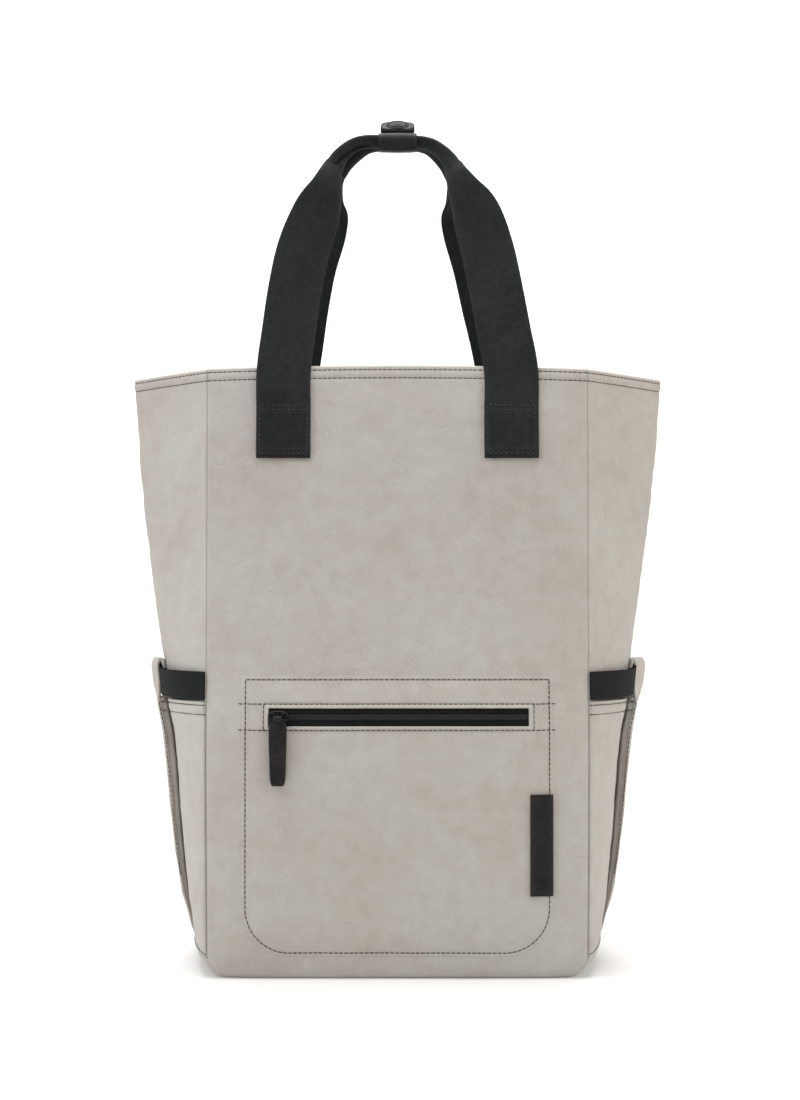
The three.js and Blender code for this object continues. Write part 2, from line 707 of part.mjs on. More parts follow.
/** Copy of a geometry mirrored along one axis, its faces still pointing outwards. */
function mirrored(geometry, axis) {
  const scale = new THREE.Vector3(1, 1, 1);
  scale[axis] = -1;
  const source = geometry.index ? geometry : mergeVertices(geometry, 1e-3);
  const position = source.getAttribute("position");
  const points = Array.from({ length: position.count }, (_, i) =>
    new THREE.Vector3().fromBufferAttribute(position, i).multiply(scale),
  );
  const index = source.index.array;
  const triangles = Array.from({ length: index.length / 3 }, (_, i) => [...index.slice(3 * i, 3 * i + 3)]);
  return closedGeometry(points, triangles);
}

/** Pieces of one shoulder strap; the left one is the mirror image of the right one. */
function shoulderStrap(side) {
  const { padding, buckleFrom, buckleTo, steps } = STRAP;
  const webbing = STRAP_WEBBING;
  const middle = (buckleFrom + buckleTo) / 2;
  const reach = buckleTo - middle;
  const span = strapFrame(middle + reach).spot.distanceTo(strapFrame(middle - reach).spot);
  const clear = ((BUCKLE.length / 2 + GAP) * 2 * reach) / span;
  const shapes = {
    shoulder_strap: [strapStrip(0, middle - clear, steps, padding, (width) => width), "cloth"],
    strap_buckle: [strapBuckle(), "plastic"],
    strap_webbing: [
      strapStrip(middle + clear, 1, webbing.steps, webbing.thickness, () => webbing.width),
      "webbing",
    ],
  };
  return Object.entries(shapes).map(([name, [geometry, finish]]) =>
    piece(`${name}_${side}`, side === "left" ? mirrored(geometry, "x") : geometry, finish),
  );
}

/** The whole bag. */
function coolerBackpack() {
  const bag = new THREE.Group();
  bag.add(piece("front_panel", frontPanel(), "cloth"));
  bag.add(turned(piece("back_panel", frontPanel(), "cloth")));
  bag.add(piece("base_panel", basePanel(), "cloth"));
  bag.add(piece("side_gusset_right", sideGusset(), "cloth"));
  bag.add(turned(piece("side_gusset_left", sideGusset(), "cloth")));
  bag.add(piece("front_pocket", frontPocket(), "cloth"));
  bag.add(piece("zip_tape", zipTape(), "zip"));
  bag.add(zipRunner());
  bag.add(piece("label_tab", labelTab(), "leather"));
  bag.add(piece("front_handle", handle(), "webbing"));
  bag.add(piece("back_handle", mirrored(handle(), "y"), "webbing"));
  bag.add(piece("handle_wrap", handleWrap(), "leather"));
  bag.add(piece("wrap_snap", wrapSnap(), "gunmetal"));
  bag.add(piece("side_pocket_right", sidePocket(), "cloth"));
  bag.add(turned(piece("side_pocket_left", sidePocket(), "cloth")));
  bag.add(piece("pocket_elastic_right", pocketElastic(), "elastic"));
  bag.add(turned(piece("pocket_elastic_left", pocketElastic(), "elastic")));
  bag.add(piece("pocket_loop_right", pocketLoop(), "cloth"));
  bag.add(turned(piece("pocket_loop_left", pocketLoop(), "cloth")));
  bag.add(...shoulderStrap("right"), ...shoulderStrap("left"));
  return bag;
}

export default coolerBackpack();
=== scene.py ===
"""Looks of a tall cooler backpack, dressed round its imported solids.

Sizes are named values in millimetres, in the bag's own frame: it stands on z = 0, its front faces -Y and its
width runs along X. Meshes are written in metres.
"""

import logging
import math
from collections.abc import Callable, Sequence
from dataclasses import dataclass, field, replace
from enum import Enum

import bpy
import numpy as np
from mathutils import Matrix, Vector


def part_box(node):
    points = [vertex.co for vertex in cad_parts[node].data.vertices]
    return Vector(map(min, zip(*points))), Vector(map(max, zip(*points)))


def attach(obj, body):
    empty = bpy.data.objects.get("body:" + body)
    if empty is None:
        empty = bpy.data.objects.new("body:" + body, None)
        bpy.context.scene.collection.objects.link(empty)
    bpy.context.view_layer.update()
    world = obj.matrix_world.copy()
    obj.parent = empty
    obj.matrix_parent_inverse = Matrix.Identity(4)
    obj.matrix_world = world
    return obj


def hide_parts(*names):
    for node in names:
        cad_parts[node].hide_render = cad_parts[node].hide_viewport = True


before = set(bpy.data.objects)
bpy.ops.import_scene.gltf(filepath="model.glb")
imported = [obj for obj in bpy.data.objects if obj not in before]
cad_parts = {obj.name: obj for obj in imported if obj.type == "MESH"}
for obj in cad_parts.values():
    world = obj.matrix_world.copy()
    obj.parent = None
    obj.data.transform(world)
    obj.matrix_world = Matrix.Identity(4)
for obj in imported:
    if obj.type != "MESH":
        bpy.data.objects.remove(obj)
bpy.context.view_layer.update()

Array = np.ndarray
Grid = tuple[Array, Array, Array]
Piece = bpy.types.Object
Socket = bpy.types.NodeSocket
Inputs = dict[str | int, object]
Value = Array | float
Pair = tuple[float, float]
Triple = tuple[float, float, float]
Box = tuple[float, float, float, float]
Plan = Callable[[Value, Array], Array]
Surface = Callable[[Array, Array, Value], Array]

MM = 0.001
BODY = "root"
WHITE = (1.0, 1.0, 1.0)
HALF_TURN = (-1, -1, 1)
FORWARD = np.array([0.0, -1.0, 0.0])
UPRIGHT = np.array([0.0, 0.0, 1.0])
FACING = np.array([[1.0, 0.0, 0.0], UPRIGHT, FORWARD])

log = logging.getLogger("cooler_backpack")


# Curves and noise


def mix(a: Value, b: Value, share: Value) -> Value:
    """Straight way from a to b."""
    return a + (b - a) * share


def smooth(share: Value) -> Array:
    """Soft step from 0 to 1, flat at both ends."""
    t = np.clip(share, 0.0, 1.0)
    return t * t * (3 - 2 * t)


def ridge(distance: Value, width: float) -> Array:
    """Round ridge of height 1 on a line: the bell curve exp(-(distance / width) ** 2)."""
    return np.exp(-((distance / width) ** 2))


def unit(vectors: Array) -> Array:
    """Vectors brought to length 1."""
    return vectors / np.maximum(np.linalg.norm(vectors, axis=-1, keepdims=True), 1e-12)


def quarter(share: Value) -> Array:
    """Quarter circle from 0 to 1, steep at its start and flat at its end."""
    return np.sqrt(1 - (1 - np.clip(share, 0.0, 1.0)) ** 2)


def quarter_turn(count: int) -> Array:
    """Angles of a quarter turn, with both ends."""
    return np.linspace(0, math.pi / 2, count)


def full_turn(count: int) -> Array:
    """Angles of a full turn, evenly spread."""
    return np.linspace(0, 2 * math.pi, count, endpoint=False)


def running(path: Array) -> Array:
    """Way along a row of points, up to each of them."""
    return np.hstack([0.0, np.cumsum(np.linalg.norm(np.diff(path, axis=0), axis=1))])


def read_along(path: Array, way: Array, at: Array) -> Array:
    """Points of a path at given ways along it."""
    return np.stack([np.interp(at, way, column) for column in path.T], -1)


def stacked(*values: Value) -> Array:
    """Values side by side in a new last axis."""
    return np.stack(np.broadcast_arrays(*values), -1)


def spread(length: float, step: float, edge: float = 0.0, edge_points: int = 4) -> Array:
    """Places along a length, crowded on a quarter turn within an edge at both ends.

    Args:
        length: Whole length.
        step: Distance between the places of the middle.
        edge: Length of the crowded stretch at each end.
        edge_points: Places on each crowded stretch.

    Returns:
        Rising places from 0 to the length.
    """
    middle = np.linspace(edge, length - edge, max(round((length - 2 * edge) / step), 1) + 1)
    if edge <= 0:
        return middle
    near = edge * (1 - np.cos(quarter_turn(edge_points + 1)[:-1]))
    return np.hstack([near, middle, length - near[::-1]])


def rounding(places: Array, edge: float) -> Array:
    """Share of the full thickness near both ends of a row of places: a quarter circle over the edge."""
    return quarter(np.minimum(places - places[0], places[-1] - places) / edge)


def border(along: Array, across: Array, edge: float) -> Array:
    """Share of the full thickness on a grid, rounded off along its whole border."""
    return np.minimum(rounding(along, edge)[:, None], rounding(across, edge)[None, :])


@dataclass(frozen=True)
class Stations:
    """Short table with named columns, read on a smooth curve along its first column."""

    names: tuple[str, ...]
    rows: tuple[tuple[float, ...], ...]

    @classmethod
    def in_order(cls, names: Sequence[str], rows: Sequence[Sequence[float]]) -> "Stations":
        """Table whose first column is the number of each row."""
        return cls(("order", *names), tuple((float(i), *map(float, row)) for i, row in enumerate(rows)))

    def at(self, name: str, key: Value) -> Array:
        """Value of a column, on the Hermite curve whose slope at a row is that between its neighbours.

        Args:
            name: Column to read.
            key: Places on the first column.

        Returns:
            Values of the column at those places.
        """
        table = np.array(self.rows, float)
        keys, values = table[:, 0], table[:, self.names.index(name)]
        before = np.maximum(np.arange(len(keys)) - 1, 0)
        after = np.minimum(np.arange(len(keys)) + 1, len(keys) - 1)
        slopes = (values[after] - values[before]) / (keys[after] - keys[before])
        i = np.clip(np.searchsorted(keys, key) - 1, 0, len(keys) - 2)
        span = keys[i + 1] - keys[i]
        t = np.clip((key - keys[i]) / span, 0.0, 1.0)
        rise = values[i + 1] - values[i]
        start, end = slopes[i] * span, slopes[i + 1] * span
        bend = t * (1 - t) * ((1 - t) * (start - rise) - t * (end - rise))
        return values[i] + rise * t + bend


@dataclass(frozen=True)
class Noise:
    """Smooth random field on a plane, the same at each run."""

    seed: int
    cells: int = 64
    gain: float = 1.6

    def at(self, x: Array, y: Array) -> Array:
        """Random slopes on a square lattice, blended between its corners.

        Args:
            x: Places across, in lattice cells.
            y: Places up, in lattice cells.

        Returns:
            Values from about -1 to 1.
        """
        angles = np.random.default_rng(self.seed).uniform(0, 2 * math.pi, (self.cells, self.cells))
        column, row = np.floor(x).astype(int), np.floor(y).astype(int)
        across, up = x - column, y - row
        total = np.zeros(np.broadcast(x, y).shape)
        for i in (0, 1):
            for j in (0, 1):
                angle = angles[(column + i) % self.cells, (row + j) % self.cells]
                slope = np.cos(angle) * (across - i) + np.sin(angle) * (up - j)
                total = total + smooth(1 - np.abs(across - i)) * smooth(1 - np.abs(up - j)) * slope
        return self.gain * total


# Meshes


@dataclass
class Mesh:
    """Points and faces of a piece, with the flat cloth coordinates and the edge mask of each point."""

    points: Array
    faces: list[Array]
    lay: Array
    edge: Array

    def moved(self, scale: Sequence[float]) -> "Mesh":
        """Copy scaled along the axes; faces are turned round where that mirrors it."""
        faces = [quads[:, ::-1] for quads in self.faces] if np.prod(scale) < 0 else self.faces
        return replace(self, points=self.points * np.array(scale), faces=faces)

    def with_copy(self, scale: Sequence[float]) -> list["Mesh"]:
        """The mesh and its copy scaled along the axes."""
        return [self, self.moved(scale)]


def joined(parts: Sequence[Mesh]) -> Mesh:
    """One mesh of several, side by side.

    Args:
        parts: The meshes.

    Returns:
        The joined mesh.
    """
    first = np.cumsum([0] + [len(part.points) for part in parts[:-1]])
    faces = [quads + start for part, start in zip(parts, first) for quads in part.faces]
    points, lay, edge = (
        np.concatenate([getattr(part, name) for part in parts]) for name in ("points", "lay", "edge")
    )
    return Mesh(points, faces, lay, edge)


def quads_of(index: Array) -> Array:
    """Quads of a grid of point numbers."""
    corners = [index[:-1, :-1], index[:-1, 1:], index[1:, 1:], index[1:, :-1]]
    return np.stack(corners, -1).reshape(-1, 4)


def shell(outer: Array, inner: Array, lay: Array, edge: Array, around: bool = False) -> Mesh:
    """Closed wall between two grids that share their border.

    The outer grid keeps all its points, the inner one only those inside its border, so that both faces meet
    on one line all round.

    Args:
        outer: Rows by columns of points on the outer face.
        inner: The same on the inner face; its border is left out.
        lay: Flat cloth coordinates of each grid point.
        edge: Edge mask of each grid point.
        around: Whether the last column joins the first, so that only the first and last row are border.

    Returns:
        The closed mesh.
    """
    rows, columns = outer.shape[:2]
    inside = (slice(1, -1), slice(None) if around else slice(1, -1))
    front = np.arange(rows * columns).reshape(rows, columns)
    back = front.copy()
    back[inside] = rows * columns + np.arange(back[inside].size).reshape(back[inside].shape)

    def both(face: Array, behind: Array) -> Array:
        """All of the front grid's values, then those of the back grid inside its border."""
        width = face.shape[2]
        return np.concatenate([face.reshape(-1, width), behind[inside].reshape(-1, width)])

    if around:
        front, back = (np.hstack([index, index[:, :1]]) for index in (front, back))
    faces = [quads_of(front), quads_of(back)[:, ::-1]]
    mask = edge[..., None]
    return Mesh(both(outer, inner), faces, both(lay, lay), both(mask, mask)[:, 0])


def outward(mesh: Mesh) -> Mesh:
    """The mesh with its faces pointing out, from the sign of the volume that they enclose.

    Args:
        mesh: A closed mesh.

    Returns:
        The mesh, turned where its volume is negative.
    """
    volume = 0.0
    for quads in mesh.faces:
        for k in range(1, quads.shape[1] - 1):
            a, b, c = (mesh.points[quads[:, i]] for i in (0, k, k + 1))
            volume += np.sum(a * np.cross(b, c))
    return mesh if volume >= 0 else replace(mesh, faces=[quads[:, ::-1] for quads in mesh.faces])


def wire(path: Array, radius: Value, axis: Array, sides: int = 10) -> Mesh:
    """Round wire along a flat path: circles about its points, square to it.

    Args:
        path: Points of the middle line.
        radius: Radius, or one for each point.
        axis: Direction square to the plane of the path.
        sides: Points on each circle.

    Returns:
        The capped tube.
    """
    along = unit(np.gradient(path, axis=0))
    side = np.cross(along, axis)
    turn = full_turn(sides)[None, :, None]
    size = np.broadcast_to(radius, len(path))[:, None, None]
    return tube(path[:, None] + size * (side[:, None] * np.cos(turn) + axis * np.sin(turn)))


def pebble(half: Pair, thickness: float, edge: float, power: float, crown: float = 0.0) -> Mesh:
    """Plate with a rounded outline and soft edges, about the origin and flat in X and Y.

    Its outline is |x/a|**power + |y/b|**power = 1; rings of it are stacked through the thickness, drawn in
    on a quarter circle at both faces, and the top face is domed by crown (1 - r**2).

    Args:
        half: Half sizes a and b.
        thickness: Full thickness.
        edge: Radius of the soft edges.
        power: 2 is an ellipse, higher is squarer.
        crown: Height of the dome on the top face.

    Returns:
        The closed plate.
    """
    rings_each, sides, hub = 6, 64, 0.12
    turn = full_turn(sides)
    cosine, sine = np.cos(turn), np.sin(turn)
    reach = (np.abs(cosine) ** power + np.abs(sine) ** power) ** (-1 / power)
    outline = stacked(half[0] * reach * cosine, half[1] * reach * sine)
    drawn_in, risen = (edge * (1 - wave(quarter_turn(rings_each))) for wave in (np.sin, np.cos))
    fill = np.linspace(hub, 1, rings_each + 1)[:-1]
    flat = np.full(rings_each, edge)
    inset = np.hstack([flat, drawn_in, risen, flat])
    share = np.hstack([fill, np.ones(2 * rings_each), fill[::-1]])
    level = np.hstack([0 * flat, risen, thickness - drawn_in, 0 * flat + thickness])
    level = level + crown * (1 - share**2) * (level > thickness / 2)
    shrink = (1 - inset[:, None] / np.array(half)) * share[:, None]
    rings = np.empty((len(share), len(turn), 3))
    rings[..., :2] = outline * shrink[:, None]
    rings[..., 2] = (level - thickness / 2)[:, None]
    made = tube(rings)
    made.edge[:-2] = np.repeat(np.clip(1 - inset / edge, 0, 1) * (share == 1), len(turn))
    return made


def placed(mesh: Mesh, spot: Array, axes: Array) -> Mesh:
    """The mesh with its own X, Y and Z along three given axes, moved to a spot."""
    return replace(mesh, points=mesh.points @ np.asarray(axes) + np.asarray(spot))


def tube(rings: Array, capped: bool = True) -> Mesh:
    """Closed skin through rings of points, each end closed by a fan about its middle.

    Args:
        rings: Rings by sides of points, turning to the left as seen along the way.
        capped: Whether the ends are closed; otherwise the last ring joins the first.

    Returns:
        The mesh, with the place round and along as its cloth coordinates.
    """
    count, sides = rings.shape[:2]
    index = np.arange(count * sides).reshape(count, sides)
    around = np.hstack([index, index[:, :1]])
    faces = [quads_of(around if capped else np.vstack([around, around[:1]]))]
    points = rings.reshape(-1, 3)
    turn, along = np.meshgrid(np.arange(sides), np.arange(count))
    lay = stacked(turn, along).reshape(-1, 2).astype(float)
    if capped:
        points = np.vstack([points, rings[[0, -1]].mean(axis=1)])
        lay = np.vstack([lay, lay[[0, -1]]])
        first, last = count * sides, count * sides + 1
        ends = ((around[0, ::-1], first), (around[-1], last))
        faces += [stacked(ring[:-1], ring[1:], np.full(sides, hub)) for ring, hub in ends]
    return Mesh(points, faces, lay, np.zeros(len(points)))


def grid_normals(grid: Array) -> Array:
    """Unit normals of a grid, from the cross product of its column and row directions."""
    return unit(np.cross(np.gradient(grid, axis=1), np.gradient(grid, axis=0)))


def strip(middle: Array, across: Array, along: Array, thickness: float, edge: float) -> Mesh:
    """Flat band with rounded edges: its middle face moved both ways along its normals.

    Args:
        middle: Rows by columns of points on the middle face.
        across: Places of the columns over the width.
        along: Places of the rows over the length.
        thickness: Full thickness.
        edge: Width over which the border is rounded.

    Returns:
        The closed band.
    """
    worn_width = 3.0
    share = border(along, across, edge)
    offset = grid_normals(middle) * (thickness / 2 * share)[..., None]
    lay = np.stack(np.meshgrid(across, along), -1)
    inside = np.minimum(across - across[0], across[-1] - across)
    mask = np.broadcast_to(1 - smooth(inside / worn_width)[None, :], share.shape)
    return shell(middle + offset, middle - offset, lay, mask)


def linked(name: str, data: bpy.types.ID) -> Piece:
    """New object of the scene, for a mesh, a light or a camera.

    Args:
        name: Its name.
        data: What it shows.

    Returns:
        The object.
    """
    made = bpy.data.objects.new(name, data)
    bpy.context.scene.collection.objects.link(made)
    return made


def add_piece(name: str, mesh: Mesh, finish: "Finish", replaces: Sequence[str] = ()) -> Piece:
    """Puts a mesh into the scene as a piece of the bag.

    Args:
        name: Name of the piece.
        mesh: Its points and faces, in millimetres.
        finish: What it is made of.
        replaces: Solids that it stands for.

    Returns:
        The new object, riding on the bag.
    """
    mesh = outward(mesh)
    data = bpy.data.meshes.new(name)
    corners = np.hstack([quads.ravel() for quads in mesh.faces]).astype(np.int32)
    sizes = np.hstack([np.full(len(quads), quads.shape[1]) for quads in mesh.faces])
    data.vertices.add(len(mesh.points))
    data.vertices.foreach_set("co", (mesh.points * MM).astype(np.float32).ravel())
    data.loops.add(len(corners))
    data.loops.foreach_set("vertex_index", corners)
    data.polygons.add(len(sizes))
    data.polygons.foreach_set("loop_start", (np.cumsum(sizes) - sizes).astype(np.int32))
    data.update(calc_edges=True)
    data.validate()
    data.shade_smooth()
    lay = np.zeros((len(mesh.points), 3), np.float32)
    lay[:, :2] = mesh.lay
    data.attributes.new("lay", "FLOAT_VECTOR", "POINT").data.foreach_set("vector", lay.ravel())
    edge = mesh.edge.astype(np.float32)
    data.attributes.new("edge", "FLOAT", "POINT").data.foreach_set("value", edge)
    data.materials.append(finish.material())
    piece = linked(name, data)
    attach(piece, BODY)
    if replaces:
        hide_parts(*replaces)
    return piece


def points_of(piece: Piece) -> Array:
    """Points of a piece in millimetres.

    Args:
        piece: The piece.

    Returns:
        Rows of x, y and z.
    """
    values = np.empty(3 * len(piece.data.vertices))
    piece.data.vertices.foreach_get("co", values)
    return values.reshape(-1, 3) / MM


# Finishes


@dataclass
class Graph:
    """Node tree with short calls for making and linking its nodes."""

    tree: bpy.types.NodeTree

    def feed(self, node: bpy.types.Node, inputs: Inputs) -> None:
        """Links sockets to a node's inputs and puts plain values on the others.

        Args:
            node: The node.
            inputs: Values or sockets, by name or number.
        """
        for key, value in inputs.items():
            if isinstance(value, Socket):
                self.tree.links.new(value, node.inputs[key])
            else:
                node.inputs[key].default_value = value

    def node(self, kind: str, inputs: Inputs | None = None, **settings: object) -> bpy.types.Node:
        """Makes a node.

        Args:
            kind: Its type's name without the common prefix.
            inputs: Values or sockets for its inputs.
            settings: Values of its own properties.

        Returns:
            The node.
        """
        made = self.tree.nodes.new(kind if kind.startswith("Node") else "ShaderNode" + kind)
        for key, value in settings.items():
            setattr(made, key, value)
        self.feed(made, inputs or {})
        return made

    def math(self, operation: str, *values: Socket | float) -> Socket:
        """Result of a math node on the given values."""
        return self.node("Math", dict(enumerate(values)), operation=operation).outputs[0]

    def total(self, first: Socket, share: float, second: Socket, rest: float) -> Socket:
        """Sum of two values, each times its own share."""
        return self.math("MULTIPLY_ADD", first, share, self.math("MULTIPLY", second, rest))

    def noise(self, vector: Socket, scale: Socket, detail: float, distortion: float = 0.0) -> Socket:
        """Value of a noise texture."""
        inputs = {"Vector": vector, "Scale": scale, "Detail": detail, "Distortion": distortion}
        return self.node("TexNoise", inputs).outputs[0]

    def blend(self, share: Socket | float, dark: object, light: object) -> Socket:
        """Colour between two colours."""
        return self.node("Mix", {0: share, 6: dark, 7: light}, data_type="RGBA").outputs[2]


class Effect(Enum):
    """Shared surface effects, each a node group with the vector it reads and one or two sizes."""

    WEAVE = "plain_weave"
    RIBS = "ribbed_weave"
    GRAIN = "leather_grain"
    CLOUDS = "cloudy_dye"
    CREASES = "fine_creases"

    def group(self) -> bpy.types.NodeTree:
        """The effect's node group, built at its first use.

        Returns:
            A group with the inputs Vector, Size and Cross and the output Value, from 0 to 1.
        """
        found = bpy.data.node_groups.get(self.value)
        if found:
            return found
        tree = bpy.data.node_groups.new(self.value, "ShaderNodeTree")
        sockets = (("Vector", "INPUT"), ("Size", "INPUT"), ("Cross", "INPUT"), ("Value", "OUTPUT"))
        for name, way in sockets:
            kind = "NodeSocketVector" if name == "Vector" else "NodeSocketFloat"
            tree.interface.new_socket(name, in_out=way, socket_type=kind)
        graph = Graph(tree)
        source = graph.node("NodeGroupInput").outputs
        value = self.recipe(graph, source["Vector"], source["Size"], source["Cross"])
        graph.node("NodeGroupOutput", {"Value": value})
        return tree

    def recipe(self, graph: Graph, vector: Socket, size: Socket, cross: Socket) -> Socket:
        """Value of the effect at a place.

        Weave and ribs come from two sines, one wave for each size across and each cross size along: a weave
        is their product, so that threads rise in turn, and ribs are the size of the sine along, notched by
        that across. Grain is the distance to the nearest of scattered points, broken up by noise. Clouds are
        broad noise with a share of finer noise, drawn apart about its middle. Creases are folded noise, its
        zero lines soft ridges, over small even noise.

        Args:
            graph: Graph of the group.
            vector: Place that is read.
            size: Size across, or scale of the main noise.
            cross: Size along, or scale of the other noise.

        Returns:
            The value's socket.
        """
        if self in (Effect.WEAVE, Effect.RIBS):
            place = graph.node("SeparateXYZ", {"Vector": vector}).outputs
            turns = [graph.math("DIVIDE", 2 * math.pi, length) for length in (size, cross)]
            across, along = (graph.math("SINE", graph.math("MULTIPLY", place[i], turns[i])) for i in (0, 1))
            if self is Effect.WEAVE:
                return graph.math("MULTIPLY_ADD", graph.math("MULTIPLY", across, along), 0.5, 0.5)
            notch = graph.math("MULTIPLY_ADD", across, 0.22, 0.78)
            return graph.math("MULTIPLY", graph.math("ABSOLUTE", along), notch)
        if self is Effect.GRAIN:
            cells = graph.node("TexVoronoi", {"Vector": vector, "Scale": size}, feature="SMOOTH_F1")
            return graph.total(graph.noise(vector, cross, 3.0), 0.4, cells.outputs[0], 0.8)
        if self is Effect.CLOUDS:
            both = graph.total(graph.noise(vector, cross, 5.0), 0.45, graph.noise(vector, size, 4.0), 0.55)
            drawn_apart = {"Value": both, "From Min": 0.36, "From Max": 0.64}
            return graph.node("MapRange", drawn_apart).outputs[0]
        fold = graph.noise(vector, size, 3.0, distortion=0.6)
        away = graph.math("MULTIPLY", graph.math("ABSOLUTE", graph.math("SUBTRACT", fold, 0.5)), 7.0)
        ridged = graph.math("SUBTRACT", 1.0, graph.math("MINIMUM", away, 1.0))
        return graph.total(ridged, 0.45, graph.noise(vector, cross, 4.0), 0.55)


@dataclass(frozen=True)
class Relief:
    """One effect of a finish: its sizes, how far it moves the surface, how much painted light and shade it
    lays on the colour, and what it reads.
    """

    effect: Effect
    size: float
    cross: float
    depth: float
    shade: float = 0.0
    on_cloth: bool = False


@dataclass(frozen=True)
class Finish:
    """What a piece is made of."""

    name: str
    slot: str
    dark: Triple
    light: Triple
    worn: Triple
    roughness: Pair
    reliefs: tuple[Relief, ...]
    clouds: Pair = (14.0, 90.0)
    wear: float = 0.25
    metallic: float = 0.0
    sheen: float = 0.0
    specular: float = 0.5
    edge_gloss: float = 1.0

    def material(self) -> bpy.types.Material:
        """The finish's material, built at its first use.

        The colour runs from dark to light with the cloudy dye and with the painted light and shade of each
        relief, lighter on its highs and darker in its lows.
        Towards the edges it turns to the worn colour, which is wear on most pieces and a painted highlight
        on the lip of the pocket's slot.
        The reliefs add up to the height of a bump.

        Returns:
            The material.
        """
        found = bpy.data.materials.get(self.name)
        if found:
            return found
        made = bpy.data.materials.new(self.name)
        made.use_nodes = True
        graph = Graph(made.node_tree)
        place = graph.node("TexCoord").outputs["Object"]
        cloth = graph.node("Attribute", attribute_name="lay").outputs["Vector"]
        edge = graph.node("Attribute", attribute_name="edge").outputs["Fac"]

        def effect(kind: Effect, vector: Socket, size: float, cross: float) -> Socket:
            """Output of one shared effect, placed with its own sizes."""
            inputs = {"Vector": vector, "Size": size, "Cross": cross}
            return graph.node("Group", inputs, node_tree=kind.group()).outputs["Value"]

        tone_and_shade = effect(Effect.CLOUDS, place, *self.clouds)
        height: Socket | float = 0.0
        for relief in self.reliefs:
            value = effect(relief.effect, cloth if relief.on_cloth else place, relief.size, relief.cross)
            height = graph.math("MULTIPLY_ADD", value, relief.depth, height)
            # Painted light and shade: the colour is lighter on the relief's highs and darker in its lows.
            if relief.shade:
                shaded = graph.math("MULTIPLY", graph.math("SUBTRACT", value, 0.5), relief.shade)
                tone_and_shade = graph.math("ADD", tone_and_shade, shaded)
        dye_and_shade = graph.blend(tone_and_shade, (*self.dark, 1.0), (*self.light, 1.0))
        # Worn colour towards the edges: wear, and on the pocket slot's lip a painted highlight.
        wear_and_highlight = graph.math("MULTIPLY", edge, self.wear)
        rough = {"Value": tone_and_shade, "To Min": self.roughness[0], "To Max": self.roughness[1]}
        bump = {"Strength": 1.0, "Distance": MM, "Height": height}
        surface = {
            "Base Color": graph.blend(wear_and_highlight, dye_and_shade, (*self.worn, 1.0)),
            "Roughness": graph.node("MapRange", rough).outputs[0],
            "Normal": graph.node("Bump", bump).outputs[0],
            "Metallic": self.metallic,
            "Sheen Weight": self.sheen,
            "Specular IOR Level": self.specular,
            "Specular Tint": (*(self.edge_gloss,) * 3, 1.0),
        }
        graph.feed(made.node_tree.nodes["Principled BSDF"], surface)
        return made


CLOTH = Finish(
    name="washed_cloth", slot="cloth", roughness=(0.78, 0.9), wear=0.3, sheen=0.15, specular=0.25,
    dark=(0.43, 0.386, 0.35), light=(0.48, 0.463, 0.425), worn=(0.58, 0.54, 0.49),
    reliefs=(
        Relief(Effect.WEAVE, 0.8, 0.8, 0.05, on_cloth=True),
        # Both crease reliefs also paint light on their ridges and shade in their hollows.
        Relief(Effect.CREASES, 46.0, 260.0, 0.5, 0.3),
        Relief(Effect.CREASES, 150.0, 700.0, 0.2, 0.45),
    ),
)
WEBBING = Finish(
    name="ribbed_webbing", slot="webbing", roughness=(0.62, 0.82), sheen=0.04, specular=0.1,
    dark=(0.012, 0.0138, 0.0142), light=(0.025, 0.0285, 0.029), worn=(0.04, 0.043, 0.044),
    clouds=(30.0, 220.0), reliefs=(Relief(Effect.RIBS, 1.3, 2.9, 0.35, 0.5, on_cloth=True),),
)
ELASTIC = Finish(
    name="ribbed_elastic", slot="elastic", roughness=(0.6, 0.8), sheen=0.03, specular=0.08,
    dark=(0.005, 0.0057, 0.0059), light=(0.012, 0.0135, 0.014), worn=(0.022, 0.023, 0.024),
    clouds=(40.0, 300.0), reliefs=(Relief(Effect.RIBS, 3.2, 2.6, 0.3, 0.6, on_cloth=True),),
)
LEATHER = Finish(
    name="grained_leather", slot="leather", roughness=(0.42, 0.62), wear=0.5, specular=0.14,
    dark=(0.0102, 0.0093, 0.0096), light=(0.0225, 0.0204, 0.0209), worn=(0.04, 0.036, 0.034),
    clouds=(50.0, 320.0), reliefs=(Relief(Effect.GRAIN, 900.0, 2600.0, 0.16, 0.5),),
)
ZIP_TAPE = Finish(
    name="zip_tape_weave", slot="zip", roughness=(0.6, 0.8), specular=0.1,
    dark=(0.005, 0.0056, 0.006), light=(0.011, 0.0122, 0.013), worn=(0.016, 0.017, 0.018),
    clouds=(60.0, 400.0), reliefs=(Relief(Effect.WEAVE, 0.9, 0.7, 0.12, 0.6, on_cloth=True),),
)
COIL = Finish(
    name="zip_coil", slot="zip", roughness=(0.42, 0.55),
    dark=(0.005, 0.0056, 0.006), light=(0.009, 0.01, 0.0108), worn=(0.018, 0.018, 0.018),
    reliefs=(Relief(Effect.CREASES, 500.0, 2000.0, 0.02),),
)
GUNMETAL = Finish(
    name="polished_gunmetal", slot="gunmetal", roughness=(0.22, 0.32),
    metallic=0.7, specular=0.2, edge_gloss=0.45,
    dark=(0.014, 0.0145, 0.0155), light=(0.024, 0.0248, 0.0262), worn=(0.12, 0.12, 0.125),
    clouds=(120.0, 900.0), reliefs=(Relief(Effect.CREASES, 300.0, 1500.0, 0.012),),
)
PLASTIC = Finish(
    name="moulded_plastic", slot="plastic", roughness=(0.4, 0.52), specular=0.35,
    dark=(0.012, 0.012, 0.013), light=(0.02, 0.02, 0.021), worn=(0.05, 0.05, 0.05),
    reliefs=(Relief(Effect.GRAIN, 1800.0, 4000.0, 0.03),),
)
